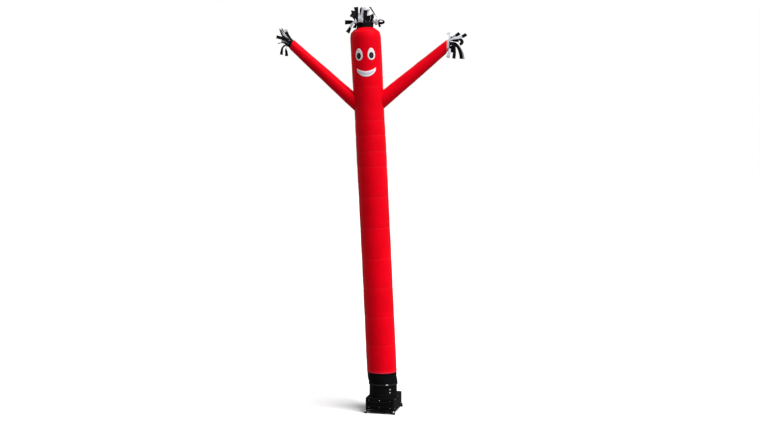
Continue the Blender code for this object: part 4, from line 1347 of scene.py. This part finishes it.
def make_housing_screws():
    """Small screws round the louvre and along the housing's sides."""
    parts = []
    front = blower_axis(0, -1)
    reach = -(HOUSING[1] / 2 + GAP + 0.004)
    for across in (-1, 0, 1):
        for up in (-1, 1):
            place = blower_place(across * WINDOW[0] / 2, reach, WINDOW_MIDDLE + up * WINDOW[1] / 2)
            parts.append(screw(f"front_{across}_{up}", place, front, *WINDOW_SCREW))
    for way in (-1, 1):
        outward = blower_axis(way, 0)
        for along in (-HOUSING_SCREW_PITCH, 0.0, HOUSING_SCREW_PITCH):
            for height in (HOUSING_BOTTOM + 0.016, HOUSING_TOP - 0.022):
                place = blower_place(way * HOUSING[0] / 2, along, height)
                parts.append(screw(f"side_{way}_{along}_{height:.2f}", place, outward, *HOUSING_SCREW))
    dress(join("housing_screws", parts), "steel")


# Carried-over nodes


def finish_nodes():
    """Gives every shown node of the blower its material."""
    for node in sorted(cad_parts):
        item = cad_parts[node]
        if item.hide_render:
            continue
        _, material = LOOKS["plastic" if node == "latch_plate" else "paint"]
        if not item.material_slots:
            item.data.materials.append(material)
        for place in item.material_slots:
            place.material = material


# Stage


def make_stage():
    scene = bpy.context.scene
    floor_mesh = bpy.data.meshes.new("floor")
    half = FLOOR_SIZE / 2
    corners = [(-half, -half, 0), (half, -half, 0), (half, half, 0), (-half, half, 0)]
    floor_mesh.from_pydata(corners, [], [(0, 1, 2, 3)])
    floor = put("floor", floor_mesh)
    floor_mesh.materials.append(Finish("pale floor", (0.93, 0.93, 0.93), 0.9).material)
    floor.visible_diffuse = False
    floor.visible_glossy = False
    sky = bpy.data.worlds.new("sky")
    sky.use_nodes = True
    tree = sky.node_tree
    background = tree.nodes["Background"]
    background.inputs["Color"].default_value = (1.0, 1.0, 1.0, 1.0)
    seen = tree.nodes.new("ShaderNodeLightPath")
    level = tree.nodes.new("ShaderNodeMapRange")
    level.inputs["To Min"].default_value = SKY_FILL
    level.inputs["To Max"].default_value = SKY_WHITE
    tree.links.new(seen.outputs["Is Camera Ray"], level.inputs["Value"])
    tree.links.new(level.outputs["Result"], background.inputs["Strength"])
    scene.world = sky
    for name, strength, turn, height, softness in LAMPS:
        lamp = bpy.data.lights.new(name, "SUN")
        lamp.energy = strength
        lamp.angle = radians(softness)
        put(name, lamp).rotation_euler = (radians(90.0 - height), 0.0, radians(turn))
    scene.view_settings.view_transform = "Standard"


def make_camera():
    lens = bpy.data.cameras.new("camera")
    lens.lens = CAMERA_LENS
    lens.sensor_width = CAMERA_SENSOR
    lens.clip_end = FLOOR_SIZE
    camera = put("camera", lens)
    camera.location = Vector(CAMERA_PLACE) + AXIS
    camera.rotation_euler = (radians(90.0 + CAMERA_PITCH), 0.0, 0.0)
    bpy.context.scene.camera = camera


make_stage()
make_camera()
make_trunk()
make_crown()
for arm_side in ARMS:
    make_arm(arm_side)
make_face()
make_streamers()
make_sleeve()
make_duct()
make_strap()
make_latch()
make_frame()
make_gland()
make_housing_screws()
finish_nodes()

bpy.context.view_layer.update()
